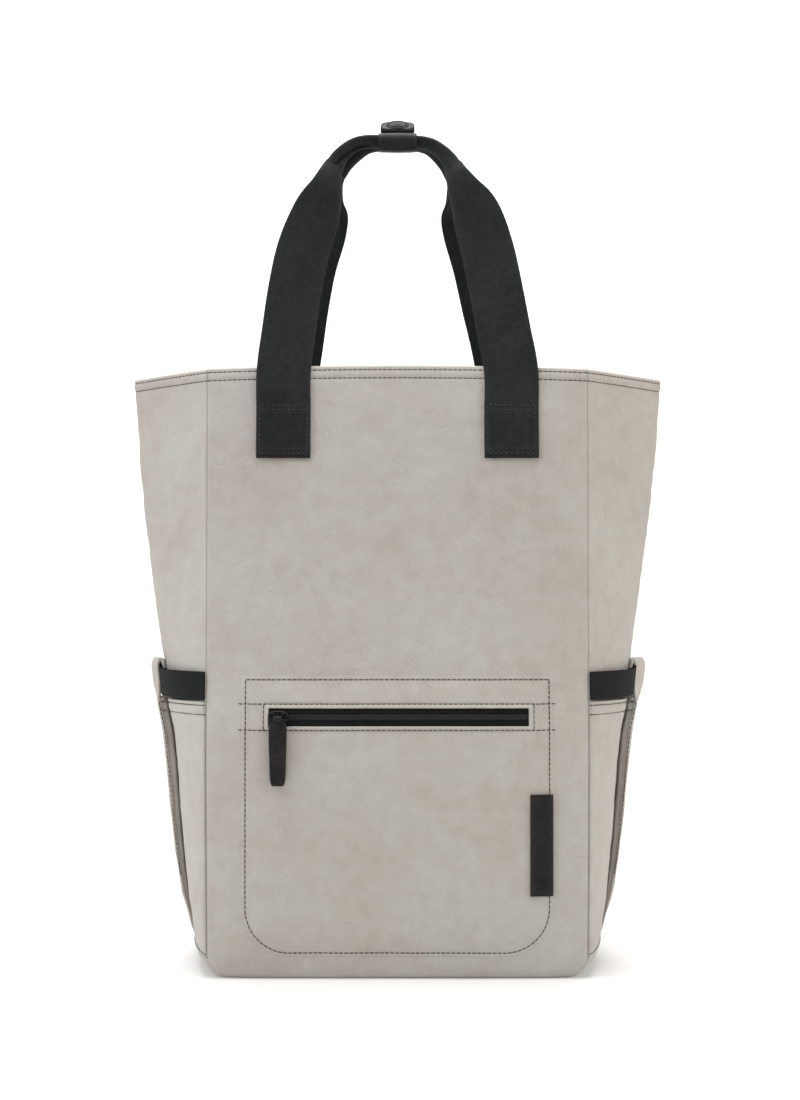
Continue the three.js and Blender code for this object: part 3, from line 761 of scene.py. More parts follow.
THREAD = Finish(
    name="sewing_thread", slot="webbing", roughness=(0.6, 0.75), specular=0.08,
    dark=(0.045, 0.037, 0.031), light=(0.085, 0.07, 0.058), worn=(0.1, 0.085, 0.07),
    reliefs=(Relief(Effect.CREASES, 900.0, 3000.0, 0.04),),
)
WEBBING_THREAD = replace(
    THREAD,
    name="webbing_thread", specular=0.1,
    dark=(0.05, 0.045, 0.041), light=(0.085, 0.077, 0.071), worn=(0.1, 0.09, 0.085),
)
DARK_THREAD = replace(
    THREAD,
    name="dark_thread", roughness=(0.5, 0.7), specular=0.15,
    dark=(0.012, 0.0125, 0.013), light=(0.05, 0.05, 0.05), worn=(0.06, 0.06, 0.06),
)


# Stitching


@dataclass(frozen=True)
class Stitch:
    """One lockstitch, repeated along a line: a short thread that dips into the cloth at both ends."""

    length: float = 3.42
    pitch: float = 3.5
    radius: float = 0.33
    lift: float = 0.2
    sink: float = 0.32
    rings: int = 7
    sides: int = 6

    def along(self, path: Array, normals: Array) -> Mesh:
        """Row of stitches on a line, one for each pitch of its length.

        Args:
            path: Points of the line on the cloth.
            normals: Directions away from the cloth at those points.

        Returns:
            The joined stitches.
        """
        way = running(path)
        count = max(int(way[-1] // self.pitch), 1)
        middle = (np.arange(count) + 0.5) * way[-1] / count
        half = self.length / 2
        ahead = read_along(path, way, np.clip(middle + half, 0, way[-1]))
        behind = read_along(path, way, np.clip(middle - half, 0, way[-1]))
        out = unit(read_along(normals, way, middle))
        return self.at(read_along(path, way, middle), unit(ahead - behind), out)

    def on(self, surface: Surface, x: Array, z: Array, level: float = 0.0) -> Mesh:
        """Row of stitches along places at a level off a surface, standing away from it."""
        path = surface(x, z, level)
        return self.along(path, surface(x, z, level + 1.0) - path)

    def at(self, spots: Array, along: Array, out: Array) -> Mesh:
        """One stitch at each spot.

        Each stitch is a tube whose middle line is straight along its way, lifted by lift (1 - t**2) and sunk
        by sink t**4 at its ends, t = -1 to 1, and whose radius shrinks there.

        Args:
            spots: Middles of the stitches.
            along: Their directions.
            out: Directions away from the cloth.

        Returns:
            The joined stitches.
        """
        count = len(spots)
        along, out = (np.broadcast_to(way, spots.shape)[:, None, None, :] for way in (along, out))
        side = np.cross(along, out)
        t = np.linspace(-1, 1, self.rings)[None, :, None, None]
        turn = full_turn(self.sides)[None, None, :, None]
        rise = self.lift * (1 - t**2) - self.sink * t**4
        thick = self.radius * np.sqrt(np.clip(1 - 0.9 * t**8, 0.0, 1.0))
        middle = spots[:, None, None, :] + along * t * self.length / 2 + out * rise
        rings = middle + (side * np.cos(turn) + out * np.sin(turn)) * thick
        single = tube(rings[0])
        hubs = rings[:, [0, -1]].mean(axis=2)
        points = np.hstack([rings.reshape(count, -1, 3), hubs])
        first = np.arange(count)[:, None, None] * points.shape[1]
        faces = [(quads[None] + first).reshape(-1, quads.shape[1]) for quads in single.faces]
        lay = np.tile(single.lay, (count, 1))
        return Mesh(points.reshape(-1, 3), faces, lay, np.zeros(len(lay)))


# The body, which every sewn-on piece follows


@dataclass(frozen=True)
class BodyForm:
    """Outline of the bag's body at each height."""

    height: float = 422.0
    crease_drop: float = 3.4
    half_width_base: float = 131.0
    half_width_rim: float = 133.5
    gusset_half: float = 75.0
    wall: float = 4.0
    edge_radius: float = 16.0
    edge_tuck: float = 0.4
    bulge: float = 5.0
    bulge_power: float = 8.0
    bulge_from: float = 0.15
    bulge_span: float = 0.7
    near: float = 1e-3
    seam_blend: float = 9.0
    stations: Stations = Stations(
        ("z", "flare", "round"),
        (
            (0, 15, 1), (60, 15.5, 1), (120, 17.5, 1), (160, 22, 0.9), (185, 29.5, 0.75),
            (205, 36, 0.6), (240, 41, 0.4), (330, 51.5, 0.2), (422, 59, 0.08),
        ),
    )

    def half_width(self, z: Value) -> Array:
        """Middle to seam of the front panel."""
        return mix(self.half_width_base, self.half_width_rim, np.asarray(z) / self.height)

    def half_depth(self, z: Value) -> Array:
        """Middle to seam of a gusset, which follows from its flare and its fixed length of cloth."""
        return np.sqrt(self.gusset_half**2 - self.stations.at("flare", z) ** 2)

    def swell(self, u: Array, z: Array) -> Array:
        """Swell of a panel: bulge sin(pi (from + span z / height)) (1 - |u|**power)."""
        upright = np.sin(math.pi * (self.bulge_from + self.bulge_span * z / self.height))
        return self.bulge * upright * (1 - np.abs(u) ** self.bulge_power)

    def turn(self, z: Array) -> Array:
        """Angle of the rounded bottom edge at a height: 0 at the floor, a quarter turn on the walls."""
        return np.arccos(1 - np.clip(z / self.edge_radius, 0.0, 1.0))

    def inset(self, z: Array) -> Array:
        """How far the rounded bottom edge draws the outline in at a height."""
        return self.edge_radius * (1 - np.sin(self.turn(z)))

    def seam_width(self, z: Array) -> Array:
        """Middle to seam of the front panel, drawn in at the bottom edge."""
        return self.half_width(z) - self.inset(z)

    def seam_depth(self, z: Array) -> Array:
        """Middle to seam of a gusset, drawn in at the bottom edge."""
        return self.half_depth(z) - self.edge_tuck * self.inset(z)

    def front_plan(self, u: Array, z: Array) -> Array:
        """Front panel in plan, with u from -1 at its left seam to 1 at its right seam."""
        return stacked(self.seam_width(z) * u, -self.seam_depth(z) - self.swell(u, z))

    def gusset_plan(self, s: Array, z: Array) -> Array:
        """Right gusset in plan, from s = -1 at its front seam over 0 at its crease: from a V to a bow."""
        vee = mix(1 - np.abs(s), 1 - s * s, self.stations.at("round", z))
        return stacked(self.seam_width(z) + self.stations.at("flare", z) * vee, self.seam_depth(z) * s)

    def crease(self, z: Array) -> Array:
        """Middle of the bag to the crease of the right gusset."""
        return self.gusset_plan(np.zeros_like(z), z)[..., 0]

    def plan_normal(self, plan: Plan, p: Value, z: Array) -> Array:
        """Outward normal of an outline in plan, by the difference of two near points."""
        along = unit(plan(np.minimum(p + self.near, 1.0), z) - plan(np.maximum(p - self.near, -1.0), z))
        return stacked(along[..., 1], -along[..., 0])

    def mitre(self, z: Array) -> Array:
        """Offset direction at the front right seam that keeps both panels' full thickness."""
        front, side = self.plan_normal(self.front_plan, 1.0, z), self.plan_normal(self.gusset_plan, -1.0, z)
        return (front + side) / (1 + np.sum(front * side, -1, keepdims=True))

    def off_front(self, u: Array, z: Array, distance: Value) -> Array:
        """Points off the front panel, on its normal and near the seams on the mitre."""
        signs = stacked(np.sign(u), np.ones_like(u))
        return self._off(self.front_plan, u, z, distance, signs, self.half_width_base)

    def off_gusset(self, s: Array, z: Array, distance: Value) -> Array:
        """Points off the right gusset, on its normal and near the seams on the mitre."""
        signs = stacked(np.ones_like(s), -np.sign(s))
        return self._off(self.gusset_plan, s, z, distance, signs, self.gusset_half)

    def _off(self, plan: Plan, p: Array, z: Array, distance: Value, signs: Array, half: float) -> Array:
        """Points of an outline moved off the cloth, down instead of out where the wall turns under.

        Args:
            plan: Outline in plan.
            p: Places on it, from -1 to 1.
            z: Heights.
            distance: Distances from the cloth.
            signs: Signs of the mitre at those places.
            half: Half the length of cloth across.

        Returns:
            The points.
        """
        p, z, distance = np.broadcast_arrays(p, z, distance)
        near = smooth(1 - (1 - np.abs(p)) * half / self.seam_blend)[..., None]
        direction = mix(self.plan_normal(plan, p, z), self.mitre(z) * signs, near)
        turn = self.turn(z)
        spot = plan(p, z) + direction * (distance * np.sin(turn))[..., None]
        return np.concatenate([spot, (z - distance * np.cos(turn))[..., None]], -1)


@dataclass(frozen=True)
class Wrinkles:
    """Lasting creases of washed cloth, which fade out towards sewn borders."""

    seed: int
    dent: float = 1.3
    fold: float = 0.5
    crease: float = 0.22
    fade: float = 14.0
    slant: Pair = (0.8, 0.6)
    cells: tuple[Box, ...] = ((95, 120, 7.3, 2.1), (46, 19, 31.7, 5.9), (15, 13, 3.1, 17.4))
    sharpness: float = 2.2

    def at(self, across: Array, up: Array, inside: Array) -> Array:
        """Height of the creases: broad dents, slanted folds and fine ridges from three sizes of noise.

        Args:
            across: Places over the width.
            up: Places over the height.
            inside: Distance from the nearest sewn border.

        Returns:
            Height off the smooth form.
        """
        noise = Noise(self.seed)
        cosine, sine = self.slant
        slanted = (across * cosine + up * sine, up * cosine - across * sine)
        dents, folds, lines = (
            noise.at(x / wide + right, y / tall + high)
            for (x, y), (wide, tall, right, high) in zip(((across, up), slanted, (across, up)), self.cells)
        )
        ridges = 1 - self.sharpness * np.abs(lines)
        return (self.dent * dents + self.fold * folds + self.crease * ridges) * smooth(inside / self.fade)


class Side(Enum):
    """Side of the bag that a piece serves."""

    FRONT = "front"
    BACK = "back"
    RIGHT = "right"
    LEFT = "left"

    @property
    def turn(self) -> tuple[int, int, int]:
        """Signs that turn a piece made for the front or the right half round to its own side."""
        way = -1 if self in (Side.BACK, Side.LEFT) else 1
        return (way, way, 1)


@dataclass
class BodyPanels:
    """Padded walls and base, sewn along four upright seams and hemmed at the rim."""

    form: BodyForm
    step: float = 2.3
    seam_edge: float = 0.9
    seam_fold: float = 0.9
    seam_sink: float = 0.72
    seam_ends: Pair = (4.0, 1.5)
    hem_lines: Pair = (3.0, 8.8)
    hem_fine: float = 0.8
    hem_depth: float = 0.45
    hem_dip: float = 1.2
    hem_fold: float = 3.2
    hem_band: float = 13.0
    wrinkles: Wrinkles = Wrinkles(seed=11)
    back_wrinkles: Wrinkles = Wrinkles(seed=23)
    gusset_seeds: tuple[int, int] = (37, 41)
    gusset_free: float = 214.0
    rim_arch: float = 2.0
    rim_from: float = 60.0
    rim_thread: float = 0.28
    worn_rim: float = 5.0
    worn_seam: float = 2.0
    base_step: float = 4.0

    def on_front(self, x: Array, z: Array, distance: Value, wrinkles: Wrinkles | None = None) -> Array:
        """Points off the creased front panel.

        Args:
            x: Places across.
            z: Heights.
            distance: Distances from the cloth.
            wrinkles: Creases to follow instead of the front panel's.

        Returns:
            The points.
        """
        form = self.form
        u = np.clip(x / form.seam_width(z), -1.0, 1.0)
        p = form.half_width_base * u
        top = form.height - self.hem_band - z
        inside = np.minimum.reduce(np.broadcast_arrays(form.half_width_base - np.abs(p), z, top))
        return form.off_front(u, z, distance + (wrinkles or self.wrinkles).at(p, z, inside))

    def on_back(self, x: Array, z: Array, distance: Value) -> Array:
        """Points off the creased back panel, which is a front panel turned half round."""
        return self.on_front(-x, z, distance, self.back_wrinkles) * HALF_TURN

    def hem(self, below: Array) -> Array:
        """Relief of the rim's hem: a dip on each stitch line and a full fold between them."""
        dips = sum(ridge(below - line, self.hem_dip) for line in self.hem_lines)
        return self.hem_depth * (0.7 * ridge(below - np.mean(self.hem_lines), self.hem_fold) - dips)

    def heights(self) -> Array:
        """Heights of a wall's rows, finer at the rounded foot and at the hem.

        Returns:
            Rising heights.
        """
        rim, edge = self.form.height, self.form.wall / 2
        foot = self.form.edge_radius * (1 - np.cos(quarter_turn(9)))
        wall = spread(rim - foot[-1], self.step, edge)[5:] + foot[-1]
        hem = np.arange(rim - self.hem_band - 1, rim - edge, self.hem_fine)
        kept = np.hstack([foot, wall[(wall < hem[0]) | (wall > hem[-1])], hem])
        return np.unique(np.round(kept, 4))

    def rim_rise(self, p: Array, drop: float) -> Array:
        """How far the rim rises: an arch of 1 - p**2 on a flat panel, a drop of 1 - |p| on a folded one."""
        return -drop * (1 - np.abs(p)) if drop else self.rim_arch * (1 - p * p)

    def wall(self, plan_off: Surface, half: float, drop: float, free: float, wrinkles: Wrinkles) -> Mesh:
        """Closed padded wall on an outline.

        Its middle face lies half the wall behind the cloth; both faces stand off it by half the wall,
        rounded at the seams and the rim, and the outer one by the creases and the hem as well.

        Args:
            plan_off: Points off the outline, for a share, a height and a distance.
            half: Half the length of cloth across.
            drop: How much lower the rim lies in the middle.
            free: Height above which nothing is sewn on it, where its creases begin.
            wrinkles: Its creases.

        Returns:
            The mesh.
        """
        form = self.form
        across = spread(2 * half, self.step, self.seam_edge) - half
        up = self.heights()
        p, z = np.meshgrid(across / half, up)
        lifted = smooth((z - self.rim_from) / (form.height - self.rim_from))
        height = z * (1 + self.rim_rise(p, drop) / form.height * lifted)
        rim = form.wall / 2
        share = np.minimum(quarter((form.height - z) / rim), rounding(across, self.seam_edge)[None, :])
        share[0] = 0.0
        from_seam = half * (1 - np.abs(p))
        inside = np.minimum.reduce([from_seam, z - free, form.height - self.hem_band - z])
        creases = wrinkles.at(half * p, z, inside) + self.hem(form.height - z)
        outer = plan_off(p, height, -rim + rim * share + creases * share)
        inner = plan_off(p, height, -rim - rim * share)
        worn = np.minimum(form.height - z, self.worn_seam * (1 + from_seam)) / self.worn_rim
        return shell(outer, inner, stacked(half * p, z), 1 - smooth(worn))

    def base(self) -> Mesh:
        """Flat base: x = (width + flare (1 - v**2) |u|) u, y = v (depth + swell(u)), u and v in -1 to 1.

        Returns:
            The closed mesh.
        """
        form = self.form
        floor = np.zeros(())
        width, depth = float(form.seam_width(floor)), float(form.seam_depth(floor))
        across, along = (spread(2 * half, self.base_step, self.seam_edge) for half in (width, depth))
        u, v = np.meshgrid(across / width - 1, along / depth - 1)
        x = (width + float(form.stations.at("flare", floor)) * (1 - v * v) * np.abs(u)) * u
        y = v * (depth + form.swell(u, floor))
        middle = stacked(x, y, np.full_like(x, form.wall / 2))
        offset = UPRIGHT * (form.wall / 2 * border(along, across, self.seam_edge))[..., None]
        return shell(middle + offset, middle - offset, stacked(x, y), np.zeros_like(x))

    def build(self) -> list[Piece]:
        """The four walls, the base, the seams and the rim's stitching.

        Returns:
            The pieces.
        """
        form = self.form
        flat = (form.off_front, form.half_width_base, 0.0, 0.0)
        folded = (form.off_gusset, form.gusset_half, form.crease_drop, self.gusset_free)
        right, left = (Wrinkles(seed) for seed in self.gusset_seeds)
        walls = (
            ("front_panel", flat, self.wrinkles, Side.FRONT),
            ("back_panel", flat, self.back_wrinkles, Side.BACK),
            ("side_gusset_right", folded, right, Side.RIGHT),
            ("side_gusset_left", folded, left, Side.LEFT),
        )
        made = [
            add_piece("cloth_" + name, self.wall(*outline, wrinkles).moved(side.turn), CLOTH, [name])
            for name, outline, wrinkles, side in walls
        ]
        return [
            *made,
            add_piece("cloth_base", self.base(), CLOTH, ["base_panel"]),
            add_piece("seam_fold", self.seams(), CLOTH),
            add_piece("rim_stitching", self.stitching(), THREAD),
        ]

    def seams(self) -> Mesh:
        """Cloth folded into the four upright seams: a round fold just below the edges of the walls.

        Returns:
            The four folds.
        """
        low, under_rim = self.seam_ends
        z = np.linspace(low, self.form.height - under_rim, 180)
        folds = []
        for u in (-1, 1):
            path = self.form.off_front(np.full_like(z, u), z, -self.seam_fold - self.seam_sink)
            folds += wire(path, self.seam_fold, -FORWARD).with_copy(HALF_TURN)
        return joined(folds)

    def stitching(self) -> Mesh:
        """Two rows of stitches round the rim, on the dips of the hem of each wall.

        Returns:
            The joined stitches.
        """
        form = self.form
        stitch = Stitch(radius=self.rim_thread)
        p = np.linspace(-1, 1, 200)
        rows = []
        for below in self.hem_lines:
            z = form.height - below
            for plan_off, drop in ((form.off_front, 0.0), (form.off_gusset, form.crease_drop)):
                height = z + self.rim_rise(p, drop) * z / form.height
                row = stitch.on(plan_off, p, height, float(self.hem(np.array(below))))
                rows += row.with_copy(HALF_TURN)
        return joined(rows)


# Front pocket


@dataclass
class FrontPocket:
    """Zipped pocket on the front panel: a sewn patch with a slot, a zip behind it and a bare tab on it."""

    panels: BodyPanels
    half_width: float = 106.8
    bottom: float = 16.0
    top: float = 207.9
    corner: float = 33.0
    slot: Box = (-88.0, 90.0, 173.8, 186.0)
    seam_inset: float = 2.6
    lowest: float = 0.15
    edge_rise: float = 0.4
    edge_run: float = 1.2
    fullness: float = 1.0
    full_run: float = 9.0
    seam_dip: float = 0.35
    zip_dip: float = 0.5
    dip_width: float = 0.9
    lip: float = 0.8
    lip_edge: float = 0.8
    lip_width: float = 2.4
    zip_seam: float = 3.1
    zip_lines: Pair = (171.2, 188.9)
    zip_line_ends: Pair = (-109.6, 108.6)
    end_lines: Pair = (-91.7, 93.7)
    end_stitch: Stitch = Stitch(radius=0.24, lift=0.1)
    tape: float = 0.9
    tape_level: float = 0.8
    tape_edge: float = 0.3
    welt: Triple = (0.25, 3.4, 0.7)
    coil: Stitch = Stitch(length=2.5, radius=0.62, lift=0.2, sink=0.3, rings=6)
    coil_pitch: float = 1.45
    coil_apart: float = 0.85
    coil_seat: float = 0.3
    tab: Box = (90.7, 106.6, 57.8, 127.3)
    tab_wall: float = 1.5
    tab_edge: float = 0.6
    tab_level: float = 2.45
    tab_bend: float = 0.75
    tab_bend_from: float = 100.0
    tab_seam: float = 2.4
    tab_dip: float = 0.3
    tab_stitch: Stitch = Stitch(radius=0.26, lift=0.1)
    arc_points: int = 24
    edge_points: tuple[int, int, int] = (82, 66, 120)
    outline_rows: tuple[float, int] = (9.0, 16)
    slot_rows: tuple[float, int] = (5.2, 15)

    def depth(self, x: Array, z: Array) -> Array:
        """Distance inside the outline of the patch, with its round lower corners.

        Args:
            x: Places across.
            z: Heights.

        Returns:
            Distances, negative outside.
        """
        edges = np.broadcast_arrays(self.half_width - np.abs(x), self.top - z, z - self.bottom)
        across = np.abs(x) - (self.half_width - self.corner)
        under = self.bottom + self.corner - z
        in_corner = (across > 0) & (under > 0)
        return np.where(in_corner, self.corner - np.hypot(across, under), np.minimum.reduce(edges))

    def clear(self, x: Array, z: Array) -> Array:
        """Distance outside the slot: the larger of that across and that up."""
        left, right, bottom, top = self.slot
        return np.maximum.reduce(np.broadcast_arrays(left - x, x - right, bottom - z, z - top, 0.0))

    def height(self, x: Array, z: Array) -> Array:
        """Height of the patch off the panel: a soft rise, a lip at the slot and dips at seams.

        Args:
            x: Places across.
            z: Heights.

        Returns:
            Heights off the panel.
        """
        depth, clear = self.depth(x, z), self.clear(x, z)
        inside = depth - self.seam_inset
        rise = self.lowest + self.edge_rise * smooth(depth / self.edge_run)
        full = self.fullness * smooth(inside / self.full_run) + self.lip * ridge(clear, self.lip_width)
        dips = self.seam_dip * ridge(inside, self.dip_width)
        return rise + full - dips - self.zip_dip * ridge(clear - self.zip_seam, self.dip_width)

    def slot_rings(self, clear: Array) -> Array:
        """Rectangles round the slot at given distances from it, from its lower left corner round.

        Args:
            clear: Distances from the slot, in a column.

        Returns:
            Rings by points of x and z.
        """
        left, right, bottom, top = self.slot
        x0, x1, z0, z1 = left - clear, right + clear, bottom - clear, top + clear
        straight, side, over = self.edge_points
        counts = (straight + 2 * self.arc_points, side + self.arc_points, over, side + self.arc_points)
        low, up, back, down = (np.linspace(0, 1, count, endpoint=False) for count in counts)
        x = np.hstack([mix(x0, x1, low), x1 + 0 * up, mix(x1, x0, back), x0 + 0 * down])
        z = np.hstack([z0 + 0 * low, mix(z0, z1, up), z1 + 0 * back, mix(z1, z0, down)])
        return stacked(x, z)

    def patch_rings(self, depth: Array) -> Array:
        """Outlines of the patch at given depths inside it, with arcs about fixed centres in the corners.

        Args:
            depth: Depths inside, in a column.

        Returns:
            Rings by points of x and z.
        """
        radius = self.corner - depth
        centre, level = self.half_width - self.corner, self.bottom + self.corner
        straight, side, over = self.edge_points
        low, up, back = (np.linspace(0, 1, count, endpoint=False) for count in (straight, side, over))

        def arc(way: int, start: float) -> tuple[Array, Array]:
            """An eighth of a circle in the left or right corner."""
            angle = np.radians(start + 45 * np.linspace(0, 1, self.arc_points, endpoint=False))
            return way * centre + radius * np.cos(angle), level + radius * np.sin(angle)

        half, top = self.half_width - depth, self.top - depth
        runs = [
            arc(-1, 225),
            (mix(-centre, centre, low) + 0 * depth, self.bottom + depth + 0 * low),
            arc(1, 270),
            arc(1, 315),
            (half + 0 * up, mix(level, top, up)),
            (mix(half, -half, back), top + 0 * back),
            (-half + 0 * up, mix(top, level, up)),
            arc(-1, 180),
        ]
        return np.stack([np.hstack([run[k] for run in runs]) for k in (0, 1)], -1)

    def patch(self) -> Mesh:
        """Patch as a ring of cloth: rows go from its outline in to the slot, columns run round it.

        Returns:
            The closed mesh.
        """
        (in_reach, in_rows), (out_reach, out_rows) = self.slot_rows, self.outline_rows
        near = in_reach * np.linspace(0, 1, in_rows)[:, None] ** 1.4
        far = out_reach * np.linspace(0, 1, out_rows)[:, None] ** 1.4
        outlines, frames = self.patch_rings(far), self.slot_rings(near)[::-1]
        share = np.linspace(0, 1, 62)[1:-1, None, None]
        rings = np.concatenate([outlines, mix(outlines[-1:], frames[:1], share), frames])
        x, z = rings[..., 0], rings[..., 1]
        height, clear = self.height(x, z), self.clear(x, z)
        under = 0.3 * self.lowest + 0.5 * self.lip * ridge(clear, 3.0)
        share = quarter(clear / self.lip_edge)
        outer = self.panels.on_front(x, z, mix((height + under) / 2, height, share))
        inner = self.panels.on_front(x, z, under)
        # Painted highlight: a narrow band along the slot's lip turns to the lighter worn colour, for the lit
        # edges of the welts.
        mask = 0.8 * ridge(clear, 1.0)
        return shell(outer, inner, rings, mask, around=True)

    def on_patch(self, x: Array, z: Array, distance: Value = 0.0) -> Array:
        """Points off the cloth of the pocket, or of the panel beside it."""
        height = np.where(self.depth(x, z) > 0, self.height(x, z), 0.0)
        return self.panels.on_front(x, z, height + distance)

    def stitching(self) -> Mesh:
        """Seam round the patch, the two long lines by the zip and the short ones at its ends.

        Returns:
            The joined stitches.
        """
        stitch = Stitch()
        ring = self.patch_rings(np.array([[self.seam_inset]]))[0]
        straight, side, over = self.edge_points
        first = 3 * self.arc_points + straight + side
        last = first + over
        runs = (ring[first : last + 1], np.vstack([ring[last:], ring[: first + 1]]))
        x = np.linspace(*self.zip_line_ends, 220)
        rows = [stitch.on(self.on_patch, run[:, 0], run[:, 1]) for run in runs]
        rows += [stitch.on(self.on_patch, x, np.full_like(x, z)) for z in self.zip_lines]
        z = np.linspace(*self.zip_lines, 20)
        rows += [self.end_stitch.on(self.on_patch, np.full_like(z, place), z) for place in self.end_lines]
        return joined(rows)

    def zip_tape(self) -> Mesh:
        """Woven tape behind the slot, a flat band with a low welt beside the coil.

        Returns:
            The band.
        """
        left, right, bottom, top = self.slot
        across, along = spread(right - left, 1.6, self.tape_edge), spread(top - bottom, 0.6, self.tape_edge)
        x, z = np.meshgrid(left + across, bottom + along)
        rise, apart, width = self.welt
        welt = rise * ridge(np.abs(z - (bottom + top) / 2) - apart, width)
        middle = self.panels.on_front(x, z, self.tape_level + welt)
        return strip(middle, across, along, self.tape, self.tape_edge)

    def zip_coil(self) -> Mesh:
        """Two rows of round coil turns that reach into each other over the middle of the zip.

        Returns:
            The joined turns.
        """
        left, right, bottom, top = self.slot
        x = np.arange(left + 1, right - 1, self.coil_pitch)
        level = self.tape_level + self.tape / 2 + self.coil_seat
        rows = []
        for side in (-1, 1):
            z = np.full_like(x, (bottom + top) / 2 + self.coil_apart * side)
            spots = self.panels.on_front(x + self.coil_pitch / 4 * side, z, level)
            rows.append(self.coil.at(spots, UPRIGHT, FORWARD))
        return joined(rows)

    def on_tab(self, x: Array, z: Array, level: float) -> Array:
        """Points at a level off the middle of the tab, which bends down a little over the pocket's seam."""
        bend = smooth((x - self.tab_bend_from) / (self.tab[1] - self.tab_bend_from))
        return self.panels.on_front(x, z, self.tab_level - self.tab_bend * bend + level)

    def tab_mesh(self) -> Mesh:
        """Leather tab: a flat band over the pocket with a dip along each of its two stitch rows.

        Returns:
            The band.
        """
        left, right, bottom, top = self.tab
        across, along = spread(right - left, 0.9, self.tab_edge), spread(top - bottom, 1.5, self.tab_edge)
        x, z = np.meshgrid(left + across, bottom + along)
        rows = ridge(z - bottom - self.tab_seam, 0.8) + ridge(top - self.tab_seam - z, 0.8)
        return strip(self.on_tab(x, z, -self.tab_dip * rows), across, along, self.tab_wall, self.tab_edge)

    def tab_stitching(self) -> Mesh:
        """Short stitch rows at the top and bottom of the tab.

        Returns:
            The joined stitches.
        """
        left, right, bottom, top = self.tab
        x = np.linspace(left + 1.6, right - 1.6, 30)
        heights = (bottom + self.tab_seam, top - self.tab_seam)
        lines = [self.on_tab(x, np.full_like(x, z), self.tab_wall / 2 - self.tab_dip) for z in heights]
        return joined([self.tab_stitch.along(line, np.broadcast_to(FORWARD, line.shape)) for line in lines])

    def build(self) -> list[Piece]:
        """The patch, its seams, the zip and the tab.

        Returns:
            The pieces.
        """
        return [
            add_piece("pocket_patch", self.patch(), CLOTH, ["front_pocket"]),
            add_piece("pocket_stitching", self.stitching(), THREAD),
            add_piece("zip_band", self.zip_tape(), ZIP_TAPE, ["zip_tape"]),
            add_piece("zip_teeth", self.zip_coil(), COIL),
            add_piece("leather_tab", self.tab_mesh(), LEATHER, ["label_tab"]),
            add_piece("leather_tab_stitching", self.tab_stitching(), DARK_THREAD),
        ]


@dataclass
class ZipRunner:
    """Slider on the zip, with the wire bail that carries the leather pull; both lie on their solids."""

    half: Pair = (7.0, 4.5)
    rise: float = 1.1
    plate: float = 2.4
    edge: float = 0.9
    squareness: float = 2.8
    crown: float = 0.7
    nose: Pair = (2.2, 3.6)
    nose_wall: float = 1.6
    nose_edge: float = 0.7
    nose_spot: Pair = (4.4, 0.5)
    bail_half: float = 5.8
    bail_corner: float = 1.6
    bail_drop: float = 1.5
    wire: float = 0.9
    loop: float = 1.9
    loop_wall: float = 0.65
    loop_half: float = 3.0
    pull_wall: float = 2.6
    pull_edge: float = 1.15
    taper: float = 0.14

    def lifted(self, box: Sequence[Sequence[float]]) -> list[Array]:
        """Corners of a solid's box in millimetres, lifted by the rise."""
        return [np.array(corner) / MM + self.rise * UPRIGHT for corner in box]

    def slider(self) -> Mesh:
        """Domed plate with a raised nose at each end and a wire arch in front of it.

        Returns:
            The joined mesh.
        """
        low, high = self.lifted(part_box("zip_slider"))
        middle_x, _, middle_z = (low + high) / 2
        core = high[1] - self.plate / 2
        spot = np.array([middle_x, core, middle_z])
        plate = placed(pebble(self.half, self.plate, self.edge, self.squareness, self.crown), spot, FACING)
        nose = pebble(self.nose, self.nose_wall, self.nose_edge, 2.4, crown=0.3)
        apart, ahead = self.nose_spot
        front = -self.plate / 2 - ahead
        noses = [placed(nose, spot + [way * apart, front, 0.0], FACING) for way in (-1, 1)]
        turn = quarter_turn(7)
        bend_x = self.bail_half - self.bail_corner * (1 - np.cos(turn))
        bend_y = low[1] + self.wire + self.bail_corner * (1 - np.sin(turn))
        half = np.vstack([[self.bail_half, core], stacked(bend_x, bend_y)])
        path = np.vstack([half, (half * [-1, 1])[::-1]])
        level = np.full(len(path), middle_z - self.bail_drop)
        arch = stacked(middle_x + path[:, 0], path[:, 1], level)
        return joined([plate, *noses, wire(arch, self.wire, UPRIGHT, 12)])

    def pull(self) -> Mesh:
        """Leather strip, narrower towards its foot, with a loop of leather round the bar of the bail.

        Returns:
            The joined mesh.
        """
        low, high = self.lifted(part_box("zip_pull"))
        middle = (low + high) / 2
        outer = self.loop + self.loop_wall
        bar = np.array([middle[0], middle[1], high[2] - outer])
        length = bar[2] - outer * 0.6 - low[2]
        half = ((high[0] - low[0]) / 2, length / 2)
        body = pebble(half, self.pull_wall, self.pull_edge, 7.0, crown=0.25)
        share = 0.5 - body.points[:, 1] / length
        body.points[:, 0] *= 1 - self.taper * smooth(share)
        strap = placed(body, np.array([middle[0], middle[1], low[2] + length / 2]), FACING)
        turn, angle = full_turn(28)[:, None], full_turn(16)[None, :]
        reach = np.abs(np.cos(angle)) ** 0.5 * np.sign(np.cos(angle)) * self.loop_half
        out = self.loop + self.loop_wall * np.sin(angle)
        rings = stacked(reach, out * np.cos(turn), out * np.sin(turn)) + bar
        return joined([strap, tube(rings, capped=False)])

    def build(self) -> list[Piece]:
        """The slider and the pull.

        Returns:
            The pieces.
        """
        return [
            add_piece("slider_with_bail", self.slider(), GUNMETAL, ["zip_slider"]),
            add_piece("leather_pull", self.pull(), LEATHER, ["zip_pull"]),
        ]


# Handles


Leg = tuple[Box, ...]

